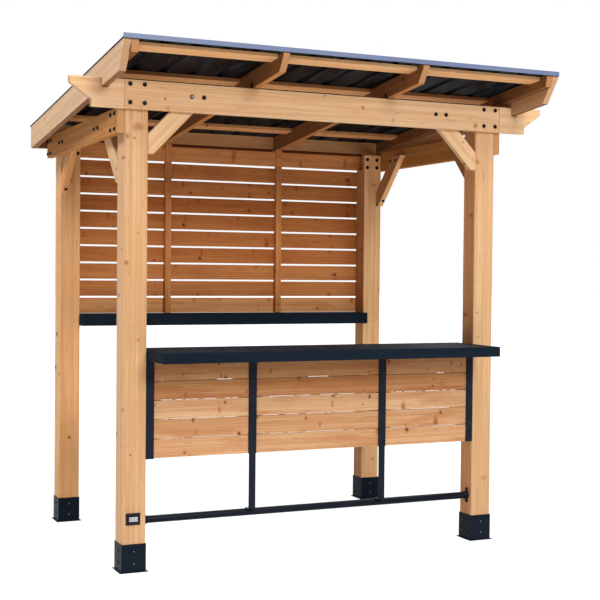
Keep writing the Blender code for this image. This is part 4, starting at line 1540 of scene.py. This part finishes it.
    def front_fold(self) -> None:
        """Fold the front trim from two lengths that lap, with a dark lower lip and end caps."""
        low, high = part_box("front_trim")
        bm = bmesh.new()
        for start, end, back in (
                (low.x, self.joint + self.lap, self.lap_step), (self.joint, high.x, 0.0)):
            front, top = low.y + back, high.z - back * self.lap_sink
            points = [Vector((start, front + step, top - drop))
                      for step, drop in self.front_profile]
            add_fold(bm, points, Vector((end - start, 0.0, 0.0)), self.trim_sheet, (0, 0, 0, 1))
        for x in (low.x + self.cap_half, high.x - self.cap_half):
            corners = (Vector((x + side * self.cap_half, low.y + depth, high.z - drop))
                       for side, depth, drop in zip((-1, 1), self.cap_depth, self.cap_drop))
            add_block(bm, *corners)
        for step in self.rivet_steps:
            place = Vector((self.joint + step, low.y + self.rivet_seat, high.z - self.rivet_drop))
            self.rivet.add(bm, place, Vector(FRONTWARD))
        piece = settle("front_fold", bm, "trim_steel", PALETTE.trim, PALETTE.roof)
        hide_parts("front_trim")

    def side_folds(self) -> None:
        """Fold the slim trims over the sheet's side edges."""
        for word, side in SIDES:
            low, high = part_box(f"side_trim_{word}")
            near, far = (low.x, high.x) if side < 0 else (high.x, low.x)
            bm = bmesh.new()
            points = [Vector((x, low.y, high.z - drop)) for x, drop in (
                (far, self.side_sink), (near - side * self.side_round, 0.0),
                (near, self.side_round), (near, self.lip))]
            run = high.y - low.y
            add_fold(bm, points, Vector((0.0, run, -SLOPE * run)), self.side_sheet, (0, 0, 0))
            piece = settle(f"side_fold_{word}", bm, "roof_steel", PALETTE.roof)
            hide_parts(f"side_trim_{word}")


@dataclass
class RearWall:
    """Nine slats on two studs, with the folded shelf below."""

    count: int = 9
    bottom: float = 1.2012
    height: float = 0.0910
    gap: float = 0.0105
    thick: float = 0.018
    ease: float = 0.0026
    front: float = 1.4273
    outer_x: float = 1.0275
    stud_x: float = 0.362
    stud: float = 0.036
    stud_ease: Span = (0.0018, 0.0012)
    stud_tone: float = 1.05
    stud_middle: float = 1.7
    half_lap: float = 0.0223
    stud_bite: float = 0.0005
    beam_front: float = 0.022
    screw_x: float = 0.98
    screw_step: float = 0.026
    screw: float = 0.0038
    beam_head: float = 0.0078
    beam_washer: float = 0.0115
    beam_bolts: tuple[Span, ...] = (
        (0.940, 2.1775), (1.0075, 2.1775), (0.940, 2.128), (1.0075, 2.128))
    # Row factors of the slats: partly the boards' own tone, partly painted shade that darkens the
    # upper rows under the roof; the rear factor lifts the wall cedar's painted shade off the back
    # faces.
    row_tones_and_shade: tuple[float, ...] = (1.52, 0.93, 0.92, 0.70, 0.76, 0.70, 0.56, 0.80, 0.85)
    rear_painted_shade_undo: Triple = (1.12, 1.60, 2.30)

    def build(self) -> None:
        """Build the slats with rounded edges and the notched studs."""
        pitch = self.height + self.gap
        bm = bmesh.new()
        for row in range(self.count):
            low = self.bottom + row * pitch
            add_block(bm, bar(-self.outer_x, self.front, low),
                      bar(self.outer_x, self.front + self.thick, low + self.height), self.ease, 3)
        middle = bar(0.0, self.front + self.thick / 2, self.bottom + self.height / 2)
        grain = Grain(ACROSS, UP, tuple(middle), (self.height / 2, self.thick / 2), 61, 1.0,
                      (self.bottom - self.gap / 2, pitch), self.row_tones_and_shade, BACK, self.rear_painted_shade_undo)
        slats = settle("wall_slats", bm, "wall_cedar", PALETTE.wall.paint("slats", grain),
                       smooth=True)
        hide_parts("rear_wall")
        for seed, (word, side) in enumerate(SIDES, start=62):
            self.stud_piece(word, side, seed)
        dress("rear_shelf", PALETTE.counter)

    def stud_piece(self, word: str, side: float, seed: int) -> None:
        """Build one stud, half lapped over the rear beam and cut to the rafters.

        Args:
            word: left or right.
            side: -1 for the left stud, 1 for the right one.
            seed: number of its grain.
        """
        bm = bmesh.new()
        half, x = self.stud / 2, side * self.stud_x
        front = REAR_FACE - self.stud
        lap = self.bottom + self.count * (self.height + self.gap)
        top = BEAM_TOP - SLOPE * (REAR_FACE - self.beam_front) - GAP
        lower_ease, upper_ease = self.stud_ease
        add_block(bm, bar(x - half, front, self.bottom), bar(x + half, REAR_FACE, lap),
                  lower_ease)
        add_block(bm, bar(x - half, front, lap - self.stud_bite),
                  bar(x + half, REAR_FACE - self.half_lap, top), upper_ease)
        middle = bar(x, REAR_FACE - half, self.stud_middle)
        grain = Grain(UP, ACROSS, tuple(middle), (half, half), seed, self.stud_tone)
        material = PALETTE.wall.paint("stud_" + word, grain)
        settle("wall_stud_" + word, bm, "wall_cedar", material, smooth=True)

    def fit(self) -> None:
        """Screw each slat to the posts and studs from behind and bolt the rear beam."""
        fixings = Fixings("slat_screws")
        pitch = self.height + self.gap
        for row in range(self.count):
            z = self.bottom + row * pitch + self.height / 2
            for x in (-self.screw_x, -self.stud_x, self.stud_x, self.screw_x):
                for step in (-self.screw_step, self.screw_step):
                    fixings.screw(
                        bar(x, self.front + self.thick, z + step), Face.REAR, self.screw)
        for _, side in SIDES:
            for x, z in self.beam_bolts:
                fixings.bolt(bar(side * x, REAR_FACE - POST, z), Face.FRONT,
                             self.beam_head, self.beam_washer)
        fixings.close()


@dataclass
class BarFront:
    """Counter, boarded panels, uprights with legs and the foot rail."""

    boards: int = 5
    bottom: float = 0.545
    board: float = 0.0910
    gap: float = 0.0033
    setback: float = 0.006
    thick: float = 0.018
    ease: float = 0.0020
    middle_tone: float = 0.92
    batten: float = 0.040
    batten_ease: float = 0.0015
    batten_bite: float = 0.0004
    batten_inset: float = 0.004
    batten_thick: float = 0.0175
    upright_x: float = 0.367
    upright_width: float = 0.0415
    edge_width: float = 0.039
    groove: float = 0.0077
    touches: int = 7
    touch_reach: float = 0.013
    top_touch_reach: float = 0.090
    touch_least: float = 0.2
    touch_inset: float = 0.02
    touch_depth: Span = (0.004, 0.009)
    touch_thick: float = 0.007
    touch_bite: float = 0.0006
    rail_radius: float = 0.0183
    rail_y: float = 0.046
    rail_z: float = 0.2425
    collar: Drum = Drum(0.0212, 0.018, 48, 0.0015)
    flange_size: Triple = (0.004, 0.012, 0.0405)
    flange_round: float = 0.0098
    flange_step: float = 0.032
    flange_screw: float = 0.0048
    flange_face: float = 0.0043
    leg_top: float = 0.0043
    upright_screws: Span = (0.600, 0.985)
    upright_screw: float = 0.0046
    edge_screw: float = 0.0040
    edge_screw_inset: float = 0.018
    leg_screw: float = 0.0050
    # Row factors of the boards: partly their own tone, partly painted shade on the top two boards
    # under the counter.
    row_tones_and_shade: tuple[float, ...] = (1.00, 0.93, 1.11, 0.60, 0.68)

    def build(self) -> None:
        """Build the boards and the rail and coat the steel."""
        inner = INNER_X - GAP
        edge = inner - self.edge_width
        near = self.upright_x + self.upright_width / 2
        far = self.upright_x - self.upright_width / 2
        spans = (("left", -edge, -near, 71), ("middle", -far, far, 72), ("right", near, edge, 73))
        for word, start, end, seed in spans:
            self.panel(word, start, end, seed)
        self.rail(inner)
        for name in ("edge_upright_left", "edge_upright_right", "upright_left", "upright_right"):
            dress(name, PALETTE.upright)
        dress("counter_top", PALETTE.counter)

    def panel(self, word: str, start: float, end: float, seed: int) -> None:
        """Build one panel of eased boards on two battens.

        Args:
            word: left, middle or right.
            start: left end of the panel.
            end: right end of the panel.
            seed: number of its grain and of the places where its boards touch.
        """
        pitch = self.board + self.gap
        rear = self.setback + self.thick
        bm = bmesh.new()
        for row in range(self.boards):
            low = self.bottom + row * pitch
            add_block(bm, bar(start - self.groove, self.setback, low),
                      bar(end + self.groove, rear, low + self.board), self.ease)
        self.touch(bm, start, end, seed)
        top = self.bottom + self.boards * pitch - self.gap
        for x in (start + self.batten_inset, end - self.batten_inset - self.batten):
            add_block(bm, bar(x, rear - self.batten_bite, self.bottom),
                      bar(x + self.batten, rear + self.batten_thick, top), self.batten_ease, 1)
        middle = bar((start + end) / 2, self.setback + self.thick / 2,
                     self.bottom + self.board / 2)
        tone = self.middle_tone if word == "middle" else 1.0
        grain = Grain(ACROSS, UP, tuple(middle), (self.board / 2, self.thick / 2), seed, tone,
                      (self.bottom - self.gap / 2, pitch), self.row_tones_and_shade)
        piece = settle("boards_" + word, bm, "panel_cedar",
                       PALETTE.panel.paint("boards_" + word, grain), smooth=True)
        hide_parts("panel_" + word)

    def touch(self, bm: bmesh.types.BMesh, start: float, end: float, seed: int) -> None:
        """Close the seams where a bowed board touches the next one.

        Args:
            bm: the panel's mesh.
            start: left end of the panel.
            end: right end of the panel.
            seed: number that makes the places this panel's own.
        """
        pitch = self.board + self.gap
        luck = random.Random(seed)
        for row in range(1, self.boards):
            low = self.bottom + row * pitch - self.gap - self.touch_bite
            high = low + self.gap + 2 * self.touch_bite
            reach = self.top_touch_reach if row == self.boards - 1 else self.touch_reach
            for _ in range(self.touches):
                x = luck.uniform(start + self.touch_inset, end - self.touch_inset)
                half = luck.uniform(self.touch_least, 1.0) * reach
                near = self.setback + luck.uniform(*self.touch_depth)
                add_block(bm, bar(max(x - half, start), near, low),
                          bar(min(x + half, end), near + self.touch_thick, high))

    def rail(self, inner: float) -> None:
        """Build the round rail with its collars and flanges.

        Args:
            inner: X of the rail's right end; the left end mirrors it.
        """
        bm = bmesh.new()
        axis = Vector(ACROSS)
        Drum(self.rail_radius, 2 * inner, 64).add(bm, bar(-inner, self.rail_y, self.rail_z), axis)
        thick, half_y, half_z = self.flange_size
        for _, side in SIDES:
            self.collar.add(bm, bar(side * inner, self.rail_y, self.rail_z), axis * -side)
            near, far = sorted((side * inner, side * (inner - thick)))
            self.flange(bm, bar(near, self.rail_y - half_y, self.rail_z - half_z),
                        bar(far, self.rail_y + half_y, self.rail_z + half_z))
        piece = settle("round_foot_rail", bm, "frame_steel", PALETTE.tube, smooth=True)
        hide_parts("foot_rail")

    def flange(self, bm: bmesh.types.BMesh, low: Vector, high: Vector) -> None:
        """Add a flange plate with rounded ends.

        Args:
            bm: the rail's mesh.
            low: lowest corner.
            high: highest corner.
        """
        verts = add_block(bm, low, high)
        half = (high.x - low.x) / 2
        edges = list({edge for vert in verts for edge in vert.link_edges
                      if abs(edge.verts[0].co.x - edge.verts[1].co.x) > half})
        bmesh.ops.bevel(bm, geom=edges, offset=self.flange_round, segments=6, profile=0.5,
                        affect="EDGES", material=-1)

    def fit(self) -> None:
        """Screw the flanges, the uprights and the legs."""
        fixings = Fixings("bar_front_screws")
        for _, side in SIDES:
            x = side * (INNER_X - self.flange_face)
            for step in (-self.flange_step, self.flange_step):
                fixings.dome(bar(x, self.rail_y, self.rail_z + step), Face.sideways(-side),
                             self.flange_screw)
            for z in self.upright_screws:
                fixings.screw(bar(side * self.upright_x, 0.0, z), Face.FRONT, self.upright_screw)
                fixings.screw(bar(side * (INNER_X - self.edge_screw_inset), 0.0, z), Face.FRONT,
                              self.edge_screw)
            foot = self.rail_z + self.rail_radius + self.leg_top
            fixings.screw(
                bar(side * self.upright_x, self.rail_y, foot), Face.UP, self.leg_screw)
        fixings.close()


@dataclass
class Outlet:
    """Weatherproof outlet on the front left post."""

    x: float = -0.985
    z: float = 0.2585
    front: float = -0.0113
    seat: float = 0.002
    half_x: float = 0.0215
    half_z: float = 0.0112
    socket_x: float = 0.0115
    slit_x: float = 0.0032
    slit_half: float = 0.0006
    slit_y: Span = (-0.0027, -0.0020)
    slit_z: Span = (-0.0028, 0.0034)
    proud: float = 0.0016
    ease: float = 0.0007
    clear: float = 0.0001
    ring: Drum = Drum(0.0084, 0.0005, 28, 0.0, 1)
    socket: Drum = Drum(0.0074, 0.0009, 28, 0.0005)

    def build(self) -> None:
        """Build the pale insert with two slotted sockets."""
        dress("outlet_plate", PALETTE.plastic)
        bm = bmesh.new()
        seat = self.front + self.seat
        face_y = seat - self.proud
        add_block(bm, bar(self.x - self.half_x, face_y, self.z - self.half_z),
                  bar(self.x + self.half_x, seat - self.clear, self.z + self.half_z), self.ease)
        for step in (-self.socket_x, self.socket_x):
            face = bar(self.x + step, face_y, self.z)
            for drum in (self.ring, self.socket):
                drum.add(bm, face, Vector(FRONTWARD))
            for hand in (-self.slit_x, self.slit_x):
                x = self.x + step + hand
                corners = (bar(x + side * self.slit_half, seat + y, self.z + z)
                           for side, y, z in zip((-1, 1), self.slit_y, self.slit_z))
                add_block(bm, *corners, skin=1)
        settle("outlet_insert", bm, "outlet_plastic", PALETTE.insert, PALETTE.plastic, smooth=True)


@dataclass(frozen=True)
class Lamp:
    """One square soft light.

    Args:
        name: name of the lamp.
        place: centre of the square.
        target: point that it looks at.
        size: side of the square.
        watts: power.
    """

    name: str
    place: Triple
    target: Triple
    size: float
    watts: float


@dataclass
class Studio:
    """Pale floor, soft lights, white surroundings and the photo's camera."""

    place: Triple = (-2.6719, -6.2581, 1.4557)
    yaw: float = 0.42301
    pitch: float = -0.02289
    roll: float = 0.00961
    lens: float = 73.534
    sensor: float = 36.0
    sight: float = 100.0
    ambient: float = 0.06
    floor_half: float = 60.0
    floor_drop: float = 0.0005
    floor_grey: Triple = (0.86, 0.86, 0.86)
    floor_rough: float = 0.9
    floor_glow: float = 1.25
    glow_share: Span = (0.73, 0.27)
    glow_reach: Span = (1.6, 6.0)
    lamps: tuple[Lamp, ...] = (
        Lamp("key_light", (0.5, -9.4, 4.7), (0.0, 0.0, 1.2), 2.6, 500.0),
        Lamp("top_light", (0.0, -6.0, 8.0), (0.0, 0.0, 1.2), 3.6, 360.0),
        Lamp("left_light", (-5.0, 0.3, 8.0), (-1.1, 0.0, 1.2), 2.0, 560.0),
        Lamp("right_light", (5.0, 0.3, 8.0), (1.1, 0.0, 1.2), 2.0, 240.0),
        Lamp("rear_light", (2.5, 9.0, 4.5), (0.0, 0.0, 1.2), 4.0, 350.0),
    )

    def camera(self) -> None:
        """Stand the camera where the photo was taken."""
        cos_p, sin_p = math.cos(self.pitch), math.sin(self.pitch)
        forward = Vector((math.sin(self.yaw) * cos_p, math.cos(self.yaw) * cos_p, sin_p))
        level = Vector((math.cos(self.yaw), -math.sin(self.yaw), 0.0))
        lift = level.cross(forward)
        right = level * math.cos(self.roll) + lift * math.sin(self.roll)
        up = lift * math.cos(self.roll) - level * math.sin(self.roll)
        data = bpy.data.cameras.new("photo_camera")
        data.lens = self.lens
        data.sensor_width = self.sensor
        data.clip_end = self.sight
        camera = bpy.data.objects.new("photo_camera", data)
        turn = Matrix((right, up, -forward)).transposed().to_4x4()
        camera.matrix_world = Matrix.Translation(self.place) @ turn
        bpy.context.scene.collection.objects.link(camera)
        bpy.context.scene.camera = camera

    def floor(self) -> None:
        """Lay a pale floor that shows near white to the camera and keeps the shadow."""
        bm = bmesh.new()
        bmesh.ops.create_grid(bm, x_segments=1, y_segments=1, size=self.floor_half)
        mesh = bpy.data.meshes.new("studio_floor")
        bm.to_mesh(mesh)
        bm.free()
        floor = bpy.data.objects.new("studio_floor", mesh)
        floor.location.z = -self.floor_drop
        bpy.context.scene.collection.objects.link(floor)
        net = Net("studio_floor")
        net.finish(self.floor_grey, self.floor_rough)
        light = net.add(
            "ShaderNodeEmission", None, {"Color": (1.0, 1.0, 1.0), "Strength": self.floor_glow})
        ray = net.add("ShaderNodeLightPath", out="Is Camera Ray")
        gloss = net.add("ShaderNodeLightPath", out="Is Glossy Ray")
        least, more = self.glow_share
        outward = net.vector("LENGTH", net.place()).step(*self.glow_reach)
        seen = (ray + gloss).least(1.0) * (outward * more + least)
        grey = Wire(net, net.shader.outputs[0])
        mix = net.add("ShaderNodeMixShader", None, {0: seen, 1: grey, 2: light})
        output = net.tree.nodes["Material Output"]
        net.tree.links.new(mix.socket, output.inputs["Surface"])
        mesh.materials.append(net.material)

    def world(self) -> None:
        """Surround the bar with plain light that looks white to the camera."""
        world = bpy.data.worlds.new("studio")
        bpy.context.scene.world = world
        world.use_nodes = True
        tree = world.node_tree
        back = tree.nodes["Background"]
        back.inputs["Color"].default_value = (1.0, 1.0, 1.0, 1.0)
        path = tree.nodes.new("ShaderNodeLightPath")
        most = path.outputs["Is Camera Ray"]
        for ray in ("Is Glossy Ray", "Is Transmission Ray"):
            pick = tree.nodes.new("ShaderNodeMath")
            pick.operation = "MAXIMUM"
            tree.links.new(most, pick.inputs[0])
            tree.links.new(path.outputs[ray], pick.inputs[1])
            most = pick.outputs[0]
        scale = tree.nodes.new("ShaderNodeMath")
        scale.operation = "MULTIPLY_ADD"
        tree.links.new(most, scale.inputs[0])
        scale.inputs[1].default_value = 1.0 - self.ambient
        scale.inputs[2].default_value = self.ambient
        tree.links.new(scale.outputs[0], back.inputs["Strength"])

    def lamp(self, lamp: Lamp) -> None:
        """Hang one square soft light that looks at its target.

        Args:
            lamp: its name, place, target, size and power.
        """
        data = bpy.data.lights.new(lamp.name, "AREA")
        data.shape = "SQUARE"
        data.size = lamp.size
        data.energy = lamp.watts
        piece = bpy.data.objects.new(lamp.name, data)
        piece.matrix_world = turned(Vector(lamp.place), Vector(lamp.place) - Vector(lamp.target))
        bpy.context.scene.collection.objects.link(piece)

    def build(self) -> None:
        """Set up the whole studio."""
        self.camera()
        self.floor()
        self.world()
        for lamp in self.lamps:
            self.lamp(lamp)
        bpy.context.scene.view_settings.view_transform = "Standard"


def report(name: str, *steps: Callable[[], None]) -> None:
    """Run the steps of one sub-assembly.

    Args:
        name: the sub-assembly; not used.
        steps: its methods, in order.
    """
    for step in steps:
        step()


def main() -> None:
    """Dress the frame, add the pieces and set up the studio."""
    logging.basicConfig(level=logging.INFO, format="%(name)s: %(message)s")
    posts, beams, braces = Posts(), Beams(), Braces()
    roof, wall, bar_front, outlet = Roof(), RearWall(), BarFront(), Outlet()
    report("posts", posts.dress, posts.fit)
    report("beams", beams.dress, beams.fit)
    report("braces", braces.dress, braces.fit)
    report("roof", roof.dress, roof.fit)
    report("rear wall", wall.build, wall.fit)
    report("bar front", bar_front.build, bar_front.fit)
    report("outlet", outlet.build)
    report("studio", Studio().build)


if __name__ == "__main__":
    main()
